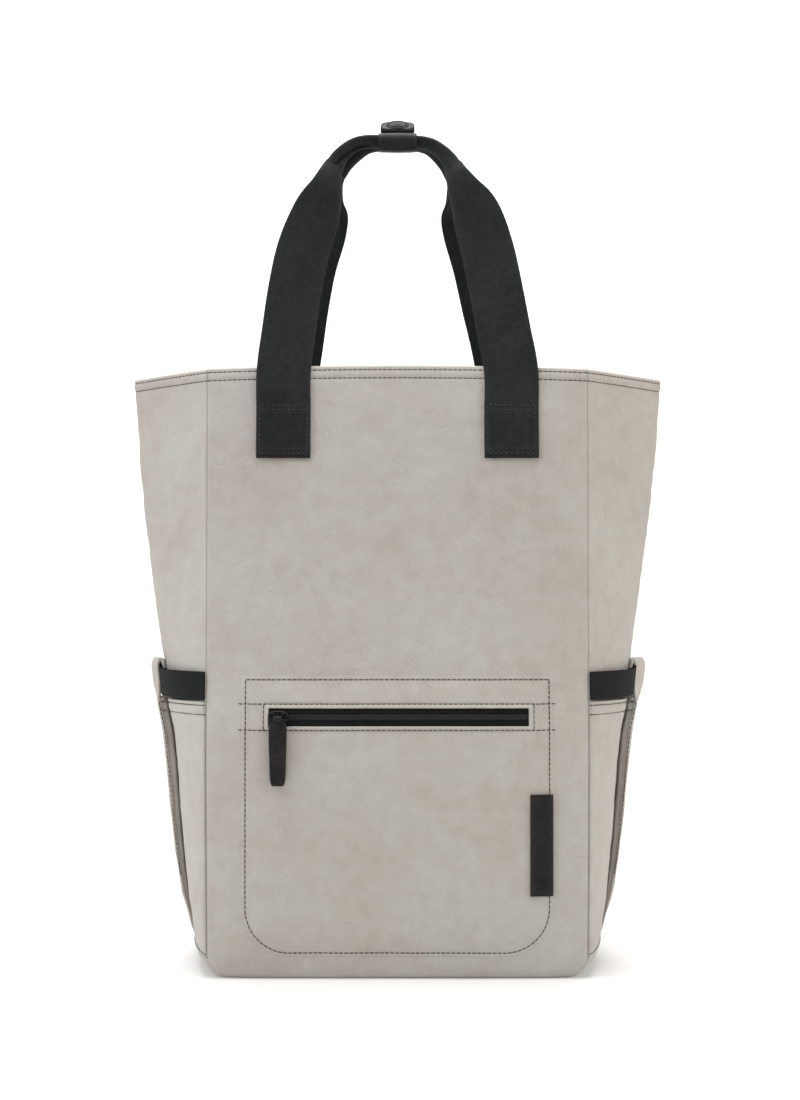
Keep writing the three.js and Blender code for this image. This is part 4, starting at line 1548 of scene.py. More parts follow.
# Left leg, arch and right leg of each handle, legs from the rim up: x, z, depth and roll in degrees.
FRONT_WAY: tuple[Leg, Box, Leg] = (
    (
        (76.2, 449, 46, 3), (72.5, 477, 41.5, 6), (67, 506, 35, 14), (58.2, 533, 27, 48),
        (51.4, 551, 20.5, 108), (48.3, 562, 16.5, 170), (46.2, 570, 13.5, 235), (42.2, 578.8, 11, 300),
        (33.4, 587.2, 8.8, 370), (24, 590.6, 8.2, 395), (12, 590.8, 8, 400),
    ),
    (0, 590.3, 8, 400),
    (
        (74.6, 449, 46, 3), (69.7, 477, 41.5, 6), (64.1, 506, 35, 14), (56.6, 533, 27, 46),
        (48, 551, 20.5, 112), (43, 562, 16.5, 178), (40.8, 569, 13.8, 240), (37.8, 576.2, 11.5, 300),
        (32, 583, 9.6, 355), (23.6, 588.6, 8.4, 390), (12, 590.6, 8, 400),
    ),
)
BACK_WAY: tuple[Leg, Box, Leg] = (
    (
        (75.3, 449, 46, 3), (71, 477, 41.5, 5), (65, 506, 35, 8), (57.3, 530, 28, 12),
        (54.2, 546, 22.5, 28), (50.5, 559, 17.5, 118), (46.5, 568.5, 14, 200), (38.5, 579, 11, 300),
        (24, 589.6, 8.2, 385), (12, 592.3, 7.6, 400),
    ),
    (0, 592.6, 7.6, 400),
    (
        (74.5, 449, 46, 3), (67.5, 477, 41.5, 5), (60.5, 506, 35, 8), (53, 530, 28, 12),
        (49.8, 545, 23, 28), (46.3, 558, 17.8, 118), (43.2, 567, 14.5, 200), (36.5, 578, 11.2, 300),
        (24, 589, 8.2, 385), (12, 592.3, 7.6, 400),
    ),
)


@dataclass
class Handles:
    """Two webbing handles, flat where they are sewn on, rolled lengthwise where the wrap holds them."""

    panels: BodyPanels
    width: float = 38.0
    thickness: float = 2.0
    edge: float = 0.9
    sewn_from: float = 358.5
    spread: float = 79.6
    clearance: float = 0.6
    tighten: float = 0.45
    flatten: float = 0.22
    full_roll: float = 400.0
    steps: int = 13
    box_rows: tuple[float, ...] = (362.0, 365.4, 392.4, 395.8)
    box_half: float = 16.6
    box_stitch: Stitch = Stitch(length=2.2, radius=0.3, lift=0.15)
    box_sink: float = 0.12
    notch: Triple = (566.0, 0.19, 4.2)
    notch_width: float = 0.07
    notch_rise: float = 5.0
    notch_ends: Pair = (-14.0, -12.0)
    letting_go: float = 12.0
    under_rim: float = 2.0
    ways: dict[Side, tuple[Leg, Box, Leg]] = field(
        default_factory=lambda: {Side.FRONT: FRONT_WAY, Side.BACK: BACK_WAY}
    )

    def on_panel(self, side: Side) -> Surface:
        """Points off the panel that the handle of a side is sewn to."""
        return self.panels.on_back if side is Side.BACK else self.panels.on_front

    def stations(self, side: Side) -> Stations:
        """Way of a handle, from its left sewn end over the arch to its right one.

        Args:
            side: Front or back.

        Returns:
            Places in order, with x, z, the depth in front of the middle and the roll in degrees.
        """
        form = self.panels.form
        rim = form.height - self.under_rim
        heights = np.array([self.sewn_from, (self.sewn_from + form.height) / 2, rim])
        u = self.spread / form.half_width(heights)
        depths = -form.off_front(u, heights, self.clearance + self.thickness / 2)[:, 1]
        sewn = [(self.spread, float(z), float(depth), 0.0) for z, depth in zip(heights, depths)]
        left, arch, right = self.ways[side]
        left = [(-x, z, depth, roll) for x, z, depth, roll in (*sewn, *left)]
        way = [*left, arch, *(*sewn, *right)[::-1]]
        return Stations.in_order(("x", "z", "depth", "roll"), way)

    def section(self, roll: Array, share: Array) -> Array:
        """Webbing section rolled lengthwise, for each row.

        The direction at a share s of the width is roll mix(s, s**2, tighten); the section is its running
        sum, centred on its box and flattened across as it is rolled.

        Args:
            roll: Roll of each row, in radians.
            share: Shares of the width.

        Returns:
            Rows by columns of places across and behind.
        """
        angle = roll[:, None] * mix(share, share**2, self.tighten)[None, :]
        heading = stacked(np.cos(angle), np.sin(angle))
        steps = (heading[:, 1:] + heading[:, :-1]) / 2 * np.diff(share)[None, :, None] * self.width
        places = np.hstack([np.zeros((len(roll), 1, 2)), np.cumsum(steps, axis=1)])
        middle = (places.min(axis=1, keepdims=True) + places.max(axis=1, keepdims=True)) / 2
        squash = 1 - self.flatten * np.minimum(roll / math.radians(self.full_roll), 1.0)
        places = places - middle
        places[..., 0] *= squash[:, None]
        return places

    def middle(self, side: Side) -> Grid:
        """Middle face of a handle: the rolled section carried along its way, its ends laid on the panel.

        Args:
            side: Front or back.

        Returns:
            Points, places across and places along.
        """
        stations = self.stations(side)
        last = stations.rows[-1][0]
        order = np.linspace(0, last, int(last) * self.steps + 1)
        x, z, depth, roll = (stations.at(name, order) for name in stations.names[1:])
        spots = stacked(x, -depth, z)
        along = unit(np.gradient(spots, axis=0))
        sideways = unit(np.cross(-FORWARD, along))
        behind = np.cross(along, sideways)
        across = spread(self.width, 1.2, self.edge)
        section = self.section(np.radians(np.maximum(roll, 0.0)), across / self.width)
        if side is Side.FRONT:
            level, place, deep = self.notch
            start, run = self.notch_ends
            pinched = smooth((z - level) / self.notch_rise) * smooth((x - start) / run)
            dent = ridge(across / self.width - place, self.notch_width)
            section[..., 1] += deep * pinched[:, None] * dent[None, :]
        grid = spots[:, None] + sideways[:, None] * section[..., :1] + behind[:, None] * section[..., 1:]
        if side is Side.BACK:
            grid = grid * [1, -1, 1]
        height = self.panels.form.height
        held = np.clip(grid[..., 2], self.sewn_from - 5, height)
        sewn = self.on_panel(side)(grid[..., 0], held, self.clearance + self.thickness / 2)[..., 1]
        loose = smooth((grid[..., 2] - height + self.letting_go) / self.letting_go)
        grid[..., 1] = mix(sewn, grid[..., 1], loose)
        return grid, across, running(spots)

    def box_stitching(self, side: Side) -> Mesh:
        """Rows and edges of stitches on both sewn ends of a handle.

        Args:
            side: Front or back.

        Returns:
            The joined stitches.
        """
        level = self.clearance + self.thickness - self.box_sink
        z = np.linspace(self.box_rows[0], self.box_rows[-1], 40)
        lines = []
        for way in (-1, 1):
            x = way * self.spread + np.linspace(-self.box_half, self.box_half, 40)
            lines += [(x, np.full_like(x, row)) for row in self.box_rows]
            lines += [(np.full_like(z, x[k]), z) for k in (0, -1)]
        return joined([self.box_stitch.on(self.on_panel(side), *line, level) for line in lines])

    def build(self) -> list[Piece]:
        """Both handles and their stitching.

        Returns:
            The pieces.
        """
        made = []
        for name, side in (("front_handle", Side.FRONT), ("back_handle", Side.BACK)):
            mesh = strip(*self.middle(side), self.thickness, self.edge)
            made.append(add_piece("webbing_" + name, mesh, WEBBING, [name]))
            made.append(add_piece(name + "_stitching", self.box_stitching(side), WEBBING_THREAD))
        return made


@dataclass
class HandleWrap:
    """Leather sleeve round both rolled handles, with a padded tab that leans forward under a snap."""

    level: float = 591.6
    length: float = 27.7
    leather: float = 1.2
    half_depth: float = 16.2
    half_height: float = 5.3
    lean: float = 12.0
    bow: float = 0.4
    squareness: float = 0.25
    worn_share: float = 0.8
    tab: Triple = (12.4, 8.6, 5.2)
    tab_edge: float = 1.5
    tab_power: float = 3.6
    tab_spot: Triple = (0.0, -3.6, 601.2)
    tab_lean: float = 33.0
    snap_radius: float = 8.2
    snap_rim: float = 1.4
    snap_edge: float = 0.6
    snap_step: float = 1.5
    snap_crown: float = 1.3

    @staticmethod
    def leaning(degrees: float) -> Array:
        """Axes turned about X, so that the front lies lower than the back."""
        cos, sin = math.cos(math.radians(degrees)), math.sin(math.radians(degrees))
        return np.array([[1.0, 0.0, 0.0], [0.0, cos, sin], [0.0, -sin, cos]])

    def sleeve(self) -> Mesh:
        """Band of leather: its section, a soft rectangle, carried round a larger one.

        Returns:
            The closed mesh.
        """
        depth, height = self.half_depth + self.leather / 2, self.half_height + self.leather / 2
        radius = height - 0.6
        angle = full_turn(96) + 0.01
        normal = stacked(np.cos(angle), np.sin(angle))
        path = np.sign(normal) * [depth - radius, height - radius] + radius * normal
        closed = np.vstack([path, path[:1]])
        way = running(closed)
        loop = read_along(closed, way, np.linspace(0, way[-1], 120, endpoint=False))
        ahead = unit(np.roll(loop, -1, axis=0) - np.roll(loop, 1, axis=0))
        out = stacked(ahead[:, 1], -ahead[:, 0])
        turn = full_turn(40)
        corner = np.stack([np.cos(turn), np.sin(turn)])
        sizes = [[self.length / 2], [self.leather / 2]]
        reach, thick = np.sign(corner) * np.abs(corner) ** self.squareness * sizes
        bow = self.bow * (1 - (2 * reach / self.length) ** 2)
        flat = loop[:, None] + out[:, None] * (thick + bow)[None, :, None]
        rings = stacked(reach[None, :], flat[..., 0], flat[..., 1])
        made = tube(rings, capped=False)
        worn = (np.abs(reach) / self.length * 2 - self.worn_share) / (1 - self.worn_share)
        made.edge[:] = np.tile(smooth(worn), len(loop))
        return placed(made, self.level * UPRIGHT, self.leaning(self.lean))

    def build(self) -> list[Piece]:
        """The sleeve with its tab, and the snap.

        Returns:
            The pieces.
        """
        *half, thick = self.tab
        axes = self.leaning(self.tab_lean)
        spot = np.array(self.tab_spot)
        tab = placed(pebble(half, thick, self.tab_edge, self.tab_power), spot, axes)

        def disc(radius: float, level: float, crown: float = 0.0) -> Mesh:
            """Round plate of the snap at a level on the tab."""
            plate = pebble((radius, radius), self.snap_rim, self.snap_edge, 2.0, crown)
            return placed(plate, spot + axes[2] * thick / 2 + axes[2] * level, axes)

        dome = disc(self.snap_radius - self.snap_step, self.snap_rim / 2, self.snap_crown)
        return [
            add_piece("leather_wrap", joined([self.sleeve(), tab]), LEATHER, ["handle_wrap"]),
            add_piece("domed_snap", joined([disc(self.snap_radius, 0.0), dome]), GUNMETAL, ["wrap_snap"]),
        ]


# Side pockets


@dataclass
class SidePocket:
    """Pocket on a gusset, with a pleat at the crease, an elastic band over its mouth and a cloth loop."""

    form: BodyForm
    side: Side
    bottom: float = 14.0
    top: float = 190.0
    crease_drop: float = 3.0
    seat: float = 0.6
    wall: float = 1.3
    edge: float = 0.65
    reach_wall: float = 1.8
    seam_tuck: float = 3.0
    fullness_power: float = 2.5
    face_columns: int = 34
    pleat_columns: tuple[int, ...] = (8, 4, 4, 8, 5, 4, 9)
    pleat_depth: float = 8.5
    lip: float = 1.8
    slot: float = 3.3
    hem_rows: Triple = (13.0, 0.7, 0.8)
    hem_lines: Pair = (2.6, 9.0)
    hem_depth: float = 0.35
    foot_line: float = 3.0
    foot_depth: float = 0.3
    foot_stitch: Stitch = Stitch(radius=0.28)
    stitch_sink: float = 0.2
    lip_line: Pair = (2.0, 60.0)
    wrinkles: Wrinkles = Wrinkles(53, dent=0.5, fold=0.35, crease=0.2)
    left_seed: int = 59
    elastic: Pair = (191.0, 210.5)
    elastic_drop: float = 2.0
    elastic_seat: float = 0.7
    elastic_wall: float = 1.6
    elastic_edge: float = 0.7
    elastic_reach: Pair = (171.6, 174.5)
    elastic_power: float = 1.6
    elastic_tip: Pair = (5.6, 6.5)
    loop_width: float = 14.0
    loop_wall: float = 2.2
    loop_edge: float = 0.8
    loop_turn: dict[Side, float] = field(default_factory=lambda: {Side.RIGHT: 37.0, Side.LEFT: -25.0})
    loop_turn_rows: Pair = (18.0, 30.0)
    loop_foot: tuple[Pair, ...] = ((92, 2.2), (130, 1.6), (165, 0.8), (184, 0.5))
    loop_points: tuple[Pair, ...] = ((176.2, 203), (176.9, 210), (175.6, 214.6))
    loop_end: tuple[Pair, ...] = ((3.4, 0.6), (1.8, -2), (0.6, -6))
    stations: Stations = Stations(
        ("z", "slack", "strip", "fold", "deep"),
        (
            (14, -0.9, 1.2, 4, 1.4), (30, 3.2, 4.2, 8, 5.4), (50, 8.3, 6.6, 10.5, 7.4),
            (100, 13.2, 8.2, 13, 8), (150, 13.6, 9.2, 15, 8.5), (190, 8.8, 8.6, 16.5, 8.5),
        ),
    )

    def outer(self, z: Array) -> Array:
        """How far the pocket's middle face reaches out at the crease."""
        slack = self.stations.at("slack", z)
        return self.form.crease(z) + self.seat + slack + self.reach_wall - self.wall / 2

    def sag(self, z: Array, s: Value) -> Array:
        """How far the cloth hangs lower towards the crease: most at the hem, nothing at the foot."""
        return self.crease_drop * (1 - np.abs(s)) * (z - self.bottom) / (self.top - self.bottom)

    def half_section(self, z: Array) -> Array:
        """Front half of the pocket in plan, from the seam over the pleat to the crease.

        The face stands off the gusset by a fullness that grows as 1 - |s|**power up to the fold; from there
        the cloth runs back into a narrow slot, out along the floor of the pleat and forward to a lip at the
        crease. The pleat's corners lie at shares of its depth.

        Args:
            z: Heights of the rows.

        Returns:
            Rows by columns of x and y.
        """
        z = z[:, None]
        strip_width, fold, deep = (self.stations.at(name, z) for name in self.stations.names[2:])
        reach = self.outer(z)
        depth = self.form.half_depth(z)
        s = mix(-1.0, -fold / depth, np.linspace(0, 1, self.face_columns)[None, :])
        plan = self.form.gusset_plan(s, z + 0 * s)
        stand = (self.seat + self.wall / 2) * smooth((1 - np.abs(s)) * depth / self.seam_tuck)
        grow = (1 - np.abs(s) ** self.fullness_power) / (1 - (fold / depth) ** self.fullness_power)
        edge = reach - strip_width
        face = stacked(plan[..., 0] + stand + (edge - plan[:, -1:, 0] - stand) * grow, plan[..., 1])
        lip, slot = (size * deep / self.pleat_depth for size in (self.lip, self.slot))
        inner = np.minimum(1.7 * deep, fold - 1.5)
        spots = (
            (edge - slot / 3, inner - fold),
            (edge + slot, inner - fold),
            (edge + slot, 0.62 * deep - fold),
            (reach - lip, 0.55 * deep - fold),
            (reach - lip, 0.28 * deep - fold),
            (reach, 0.36 * deep - fold),
            (reach - 0.2, 0 * deep),
        )
        runs = [face]
        for spot, count in zip(spots, self.pleat_columns):
            share = np.linspace(0, 1, count + 1)[None, 1:, None]
            runs.append(mix(runs[-1][:, -1:], np.stack(spot, -1), share))
        return np.hstack(runs)

    def section(self, z: Array) -> Array:
        """The half section and its mirror image, softened by passes of a running mean.

        Args:
            z: Heights of the rows.

        Returns:
            Rows by columns of x and y.
        """
        half = self.half_section(z)
        plan = np.hstack([half, half[:, -2::-1] * [1, -1]])
        for _ in range(3):
            plan[:, 1:-1] = (plan[:, :-2] + 2 * plan[:, 1:-1] + plan[:, 2:]) / 4
        return plan

    def cloth(self) -> Mesh:
        """Pocket cloth: a wall along the section at each height, with a hem.

        Returns:
            The closed mesh.
        """
        start, end, step = self.hem_rows
        fine = np.arange(self.top - start, self.top - end, step)
        low = spread(fine[0] - self.bottom, 2.0, self.edge)[:-5] + self.bottom
        heights = np.hstack([low, fine, self.top - self.edge * (1 - np.sin(quarter_turn(5)))])
        plan, row = self.section(heights), heights[:, None]
        s = plan[..., 1] / self.form.half_depth(heights)[:, None]
        middle = np.concatenate([plan, (row - self.sag(row, s))[..., None]], -1)
        below = self.top - row
        dips = sum(ridge(below - line, 1.1) for line in self.hem_lines)
        relief = self.hem_depth * (0.8 * ridge(below - np.mean(self.hem_lines), 3.0) - dips)
        relief = relief - self.foot_depth * ridge(row - self.bottom - self.foot_line, 1.6)
        half = self.form.gusset_half
        edges = np.broadcast_arrays(half * (1 - np.abs(s)), below, row - self.bottom)
        wrinkles = self.wrinkles if self.side is Side.RIGHT else replace(self.wrinkles, seed=self.left_seed)
        relief = relief + wrinkles.at(half * s, row, np.minimum.reduce(edges))
        middle = middle + grid_normals(middle) * relief[..., None]
        return strip(middle, running(plan[len(heights) // 2]), heights, self.wall, self.edge)

    def stitching(self) -> Mesh:
        """Two rows on the hem, over faces and pleat floors, one at the foot and one on each lip.

        Returns:
            The joined stitches.
        """
        made = []
        face = slice(0, self.face_columns)
        first = self.face_columns + sum(self.pleat_columns[:3])
        floor = slice(first, first + self.pleat_columns[3])
        hems = [(self.top - line, Stitch(), run) for line in self.hem_lines for run in (face, floor)]
        for height, stitch, run in [*hems, (self.bottom + self.foot_line, self.foot_stitch, face)]:
            half = self.section(np.array([height]))[0][run]
            s = half[:, 1] / self.form.half_depth(np.array(height))
            path = np.hstack([half, (height - self.sag(height, s))[:, None]])
            ahead = unit(np.gradient(half, axis=0))
            out = stacked(ahead[:, 1], -ahead[:, 0], 0 * s)
            made.append(stitch.along(path + out * (self.wall / 2 - self.stitch_sink), out))
        under_hem, low = self.lip_line
        z = np.linspace(self.top - under_hem, low, 40)
        fold, deep = self.stations.at("fold", z), self.stations.at("deep", z)
        x = self.outer(z) - 0.75 * self.lip * deep / self.pleat_depth
        path = stacked(x, 0.32 * deep - fold - self.wall / 2 - 0.05, z - self.sag(z, 0.0))
        made.append(Stitch().along(path, np.broadcast_to(FORWARD, path.shape)))
        return joined([mesh for row in made for mesh in row.with_copy((1, -1, 1))])

    def band(self) -> Mesh:
        """Elastic band, pulled out and up into the loop: its stand fades as 1 - |p|**power.

        Returns:
            The band.
        """
        low, high = self.elastic
        half = self.form.gusset_half
        across, along = spread(2 * half, 1.2, self.elastic_edge), spread(high - low, 0.8, self.elastic_edge)
        p, up = np.meshgrid(across / half - 1, along)
        share = up / (high - low)
        # The tip rises into the loop, so that the black band also stands in for the shade inside the loop.
        rise, width = self.elastic_tip
        z = low + up - self.elastic_drop * (1 - np.abs(p)) + rise * ridge(p * half, width) * share**3
        seat = self.elastic_seat + self.elastic_wall / 2
        middle = self.form.off_gusset(p, z, seat)
        pulled = np.maximum(mix(*self.elastic_reach, share) - self.form.crease(z) - seat, 0.0)
        middle[..., 0] += pulled * (1 - np.abs(p) ** self.elastic_power)
        return strip(middle, across, along, self.elastic_wall, self.elastic_edge)

    def loop(self) -> Mesh:
        """Cloth loop: a band from the pocket's crease over to the gusset, turned to one side.

        Returns:
            The band.
        """
        levels, sunk = np.array(self.loop_foot, float).T
        start = stacked(self.outer(levels) + (self.wall + self.loop_wall) / 2 - sunk, levels)
        top = self.loop_points[-1][1]
        end = np.array([float(self.form.crease(np.array(top))), top]) + self.loop_end
        table = Stations.in_order(("x", "z"), [*start, *self.loop_points, *end])
        last = len(table.rows) - 1
        order = np.linspace(0, last, 90)
        x, z = table.at("x", order), table.at("z", order)
        across = spread(self.loop_width, 1.2, self.loop_edge)
        aside = across[None, :] - self.loop_width / 2
        below, run = self.loop_turn_rows
        turn = np.radians(self.loop_turn[self.side]) * smooth((z - self.top + below) / run)[:, None]
        sewn = smooth(order - last + 2)[:, None]
        y = aside * mix(np.cos(turn), 1.0, sewn)
        height = z[:, None] + 0 * y
        bent = self.form.gusset_plan(y / self.form.half_depth(height), height)[..., 0]
        bent = bent - self.form.crease(height)
        grid = stacked(x[:, None] + aside * np.sin(turn) * (1 - sewn) + bent * sewn, y, height)
        return strip(grid, across, running(stacked(x, z)), self.loop_wall, self.loop_edge)

    def build(self) -> list[Piece]:
        """The pocket, its seams, the elastic band and the loop of one side.

        Returns:
            The pieces.
        """
        end = self.side.value
        parts = (
            ("pocket_cloth_", self.cloth(), CLOTH, ["side_pocket_" + end]),
            ("pocket_seams_", self.stitching(), THREAD, []),
            ("elastic_band_", self.band(), ELASTIC, ["pocket_elastic_" + end]),
            ("cloth_loop_", self.loop(), CLOTH, ["pocket_loop_" + end]),
        )
        return [
            add_piece(name + end, mesh.moved(self.side.turn), finish, nodes)
            for name, mesh, finish, nodes in parts
        ]


# Shoulder straps


@dataclass
class ShoulderStrap:
    """Padded strap on the back with adjuster and webbing tail, plain because the photograph hides it."""

    panels: BodyPanels
    side: Side
    middle_way: float = 0.69
    clear: float = 0.0095
    padding: float = 7.0
    webbing_width: float = 25.0
    webbing: float = 1.8
    gap: float = 0.3
    board: float = 5.8
    board_edge: float = 2.4
    pressure: float = 4.0
    swell_cap: float = 1.3
    seam_in: float = 5.0
    seam_width: float = 4.0
    widest: float = 56.0
    stitch: Stitch = Stitch(pitch=3.6)
    adjuster: Triple = (17.0, 8.5, 2.3)
    bar: float = 1.9
    sewn_ways: tuple[float, ...] = (0.015, 0.06)
    band_wall: float = 1.5
    upper_band: tuple[Pair, ...] = (
        (-24, 3.4), (-13, 4.4), (-6.8, 5.9), (-3.3, 3.2),
        (-4.6, -0.8), (-9, -0.9), (-14, 1.2), (-24, 2.4),
    )
    lower_band: tuple[Pair, ...] = (
        (30, 0.9), (14, 0.8), (7, -0.9), (3.4, 1.4), (3.6, 4.9),
        (7.6, 6.1), (15, 4.4), (34, 3.4), (62, 3.2),
    )
    stations: Stations = Stations(
        ("way", "x", "z", "stand", "width"),
        (
            (0, 31, 402, 0, 52), (0.08, 32, 376, 1, 54), (0.2, 39, 336, 17, 56), (0.35, 54, 282, 31, 56),
            (0.5, 72, 226, 34, 54), (0.66, 86, 166, 27, 44), (0.84, 100, 98, 12, 40), (1, 112, 40, 0, 40),
        ),
    )

    @property
    def sign(self) -> int:
        """Sign of X on the strap's own side; its meshes are made for the right and mirrored to the left."""
        return 1 if self.side is Side.RIGHT else -1

    def spots(self, way: Array) -> Array:
        """Inner face of the strap along its way: the back panel, stood off by the station's distance.

        Args:
            way: Places along, as shares.

        Returns:
            The points.
        """
        x, z, stand = (self.stations.at(name, way) for name in ("x", "z", "stand"))
        y = self.panels.on_back(self.sign * x, z, self.gap + stand)[..., 1] + self.gap
        return stacked(x, y, z)

    def frames(self, way: Array) -> Grid:
        """Spots of the strap with the directions across it and away from the bag.

        Args:
            way: Places along, as shares.

        Returns:
            Spots, directions across and directions away from the bag.
        """
        step = 1e-3
        spots = self.spots(way)
        along = unit(self.spots(np.minimum(way + step, 1.0)) - self.spots(np.maximum(way - step, 0.0)))
        across = unit(np.cross(along, [0.0, 1.0, 0.0]))
        return spots, across, np.cross(across, along)

    def face(self, start: float, end: float, width: float | None, level: float) -> Grid:
        """Grid on the strap at a level above its inner face.

        Args:
            start: First place along, as a share.
            end: Last place along.
            width: Width, or None for the station's own.
            level: Height above the inner face.

        Returns:
            Points, places across and places along.
        """
        length = float(running(self.spots(np.linspace(start, end, 200)))[-1])
        along = spread(length, 2.2, 1.0)
        way = mix(start, end, along / length)
        spots, across, out = self.frames(way)
        wide = self.stations.at("width", way) if width is None else np.full_like(way, width)
        places = spread(float(wide.max()), 1.6, 1.0)
        share = places / places[-1] - 0.5
        grid = spots[:, None] + across[:, None] * share[None, :, None] * wide[:, None, None]
        return grid + out[:, None] * level, places, along

    def pad(self) -> Mesh:
        """Padding before it swells: a board with rounded edges, as wide as the strap at each place."""
        face = self.face(0.0, self.middle_way - self.clear, None, self.padding / 2)
        return strip(*face, self.board, self.board_edge)

    def swell(self, piece: Piece, lay: Array) -> None:
        """Fills the padding with a short cloth run under pressure; the seams hold it down.

        Args:
            piece: The padding.
            lay: Places of its points across and along, in millimetres.
        """
        rest = points_of(piece)
        cloth = piece.modifiers.new("swell", "CLOTH")
        cloth.settings.use_pressure = True
        cloth.settings.uniform_pressure_force = self.pressure
        cloth.settings.effector_weights.gravity = 0.0
        scene = bpy.context.scene
        for number in range(1, 21):
            scene.frame_set(number)
        filled = points_of(piece.evaluated_get(bpy.context.evaluated_depsgraph_get()))
        piece.modifiers.remove(cloth)
        scene.frame_set(1)
        half = lay[:, 0].max() / 2
        away = np.abs(np.abs(lay[:, 0] - half) - half + self.seam_in)
        moved = filled - rest
        gain = np.linalg.norm(moved, axis=1)
        cap = self.swell_cap * (1 - 0.95 * ridge(away, self.seam_width))
        moved *= np.minimum(1.0, cap / np.maximum(gain, 1e-9))[:, None]
        piece.data.vertices.foreach_set("co", ((rest + moved) * MM).ravel())
        piece.data.update()

    def seams(self) -> Mesh:
        """Rows of stitches along both long edges of the padding and across its sewn end.

        Returns:
            The joined stitches.
        """
        level = (self.padding + self.board) / 2 - 0.1
        ways = np.linspace(self.sewn_ways[0], self.middle_way - self.clear - 0.02, 160)
        spots, across, out = self.frames(ways)
        half = self.stations.at("width", ways)[:, None] / 2 * (1 - 2 * self.seam_in / self.widest)
        rows = [self.stitch.along(spots + side * across * half + out * level, out) for side in (-1, 1)]
        for share in self.sewn_ways:
            spots, across, out = self.frames(np.array([share]))
            path = spots + across * np.linspace(-1, 1, 20)[:, None] * half[0] + out * level
            rows.append(self.stitch.along(path, np.broadcast_to(out, path.shape)))
        return joined(rows)

    def tail(self) -> Mesh:
        """Webbing between the adjuster and the lower seam."""
        face = self.face(self.middle_way + self.clear, 1.0, self.webbing_width, self.webbing / 2)
        return strip(*face, self.webbing, 0.8)

    def band(self, rows: Sequence[Pair]) -> Mesh:
        """Webbing led round a bar of the adjuster.

        Args:
            rows: Distances down the strap from the adjuster, with levels above the strap's inner face.

        Returns:
            The band.
        """
        table = Stations.in_order(("far", "level"), rows)
        order = np.linspace(0, len(rows) - 1, 12 * len(rows))
        step = 0.01
        near = self.spots(self.middle_way + np.array([-step, step]))
        way = self.middle_way + table.at("far", order) * 2 * step / np.linalg.norm(near[1] - near[0])
        spots, across, out = self.frames(way)
        line = spots + out * table.at("level", order)[:, None]
        places = spread(self.webbing_width, 1.3, 0.7)
        grid = line[:, None] + across[:, None] * (places - self.webbing_width / 2)[None, :, None]
        return strip(grid, places, running(line), self.band_wall, 0.7)

    def ladder(self) -> Mesh:
        """Adjuster: two rails and three bars, each a rounded rod.

        Returns:
            The joined rods.
        """
        half_wide, half_long, half_thick = self.adjuster
        spots, across, out = (values[0] for values in self.frames(np.array([self.middle_way])))
        along = np.cross(out, across)
        middle = spots + out * half_thick
        wide, long = across * (half_wide - half_thick), along * (half_long - 0.4)
        rails = [self.rod(middle + way * wide, long, half_thick, out) for way in (-1, 1)]
        step = along * (half_long - self.bar)
        bars = [self.rod(middle + way * step, wide, self.bar, out) for way in (-1, 0, 1)]
        return joined([*rails, *bars])

    @staticmethod
    def rod(middle: Array, half: Array, radius: float, axis: Array) -> Mesh:
        """Rod about a middle, as far as half both ways, its ends rounded off like half a ball.

        Args:
            middle: Its middle.
            half: Way from there to its end.
            radius: Its radius.
            axis: Direction square to it.

        Returns:
            The rod.
        """
        turn = quarter_turn(6)
        length = float(np.linalg.norm(2 * half))
        near = radius * 0.5 * (1 - np.cos(turn))
        way = np.hstack([near, length - near[::-1]])
        thick = radius * np.hstack([np.sin(turn), np.sin(turn[::-1])])
        path = middle - half + 2 * half * (way / length)[:, None]
        return wire(path, np.maximum(thick, 0.05), axis, sides=16)

    def build(self) -> list[Piece]:
        """The padding, its seams, the webbing and the adjuster of one side.

        Returns:
            The pieces.
        """
        end = self.side.value
        mirror = (self.sign, 1, 1)
        mesh = self.pad().moved(mirror)
        pad = add_piece("strap_padding_" + end, mesh, CLOTH, ["shoulder_strap_" + end])
        self.swell(pad, mesh.lay)
        webbing = joined([self.tail(), self.band(self.upper_band), self.band(self.lower_band)])
        return [
            pad,
            add_piece("strap_seams_" + end, self.seams().moved(mirror), THREAD),
            add_piece("strap_tail_" + end, webbing.moved(mirror), WEBBING, ["strap_webbing_" + end]),
            add_piece("ladder_" + end, self.ladder().moved(mirror), PLASTIC, ["strap_buckle_" + end]),
        ]


# Studio


@dataclass(frozen=True)
class Lamp:
    """Square soft light: its place, the length of its side, its power in watts, its colour and its aim."""

    name: str
    spot: Triple
    size: float
    power: float
    colour: Triple = WHITE
    aim: Triple = (0.0, 0.0, 260.0)

    def build(self) -> None:
        """Puts the light into the scene."""
        data = bpy.data.lights.new(self.name, "AREA")
        data.size = self.size * MM
        data.energy = self.power
        data.color = self.colour
        lamp = linked(self.name, data)
        lamp.location = np.array(self.spot) * MM
        lamp.rotation_mode = "QUATERNION"
        lamp.rotation_quaternion = (Vector(self.aim) - Vector(self.spot)).to_track_quat("-Z", "Y")


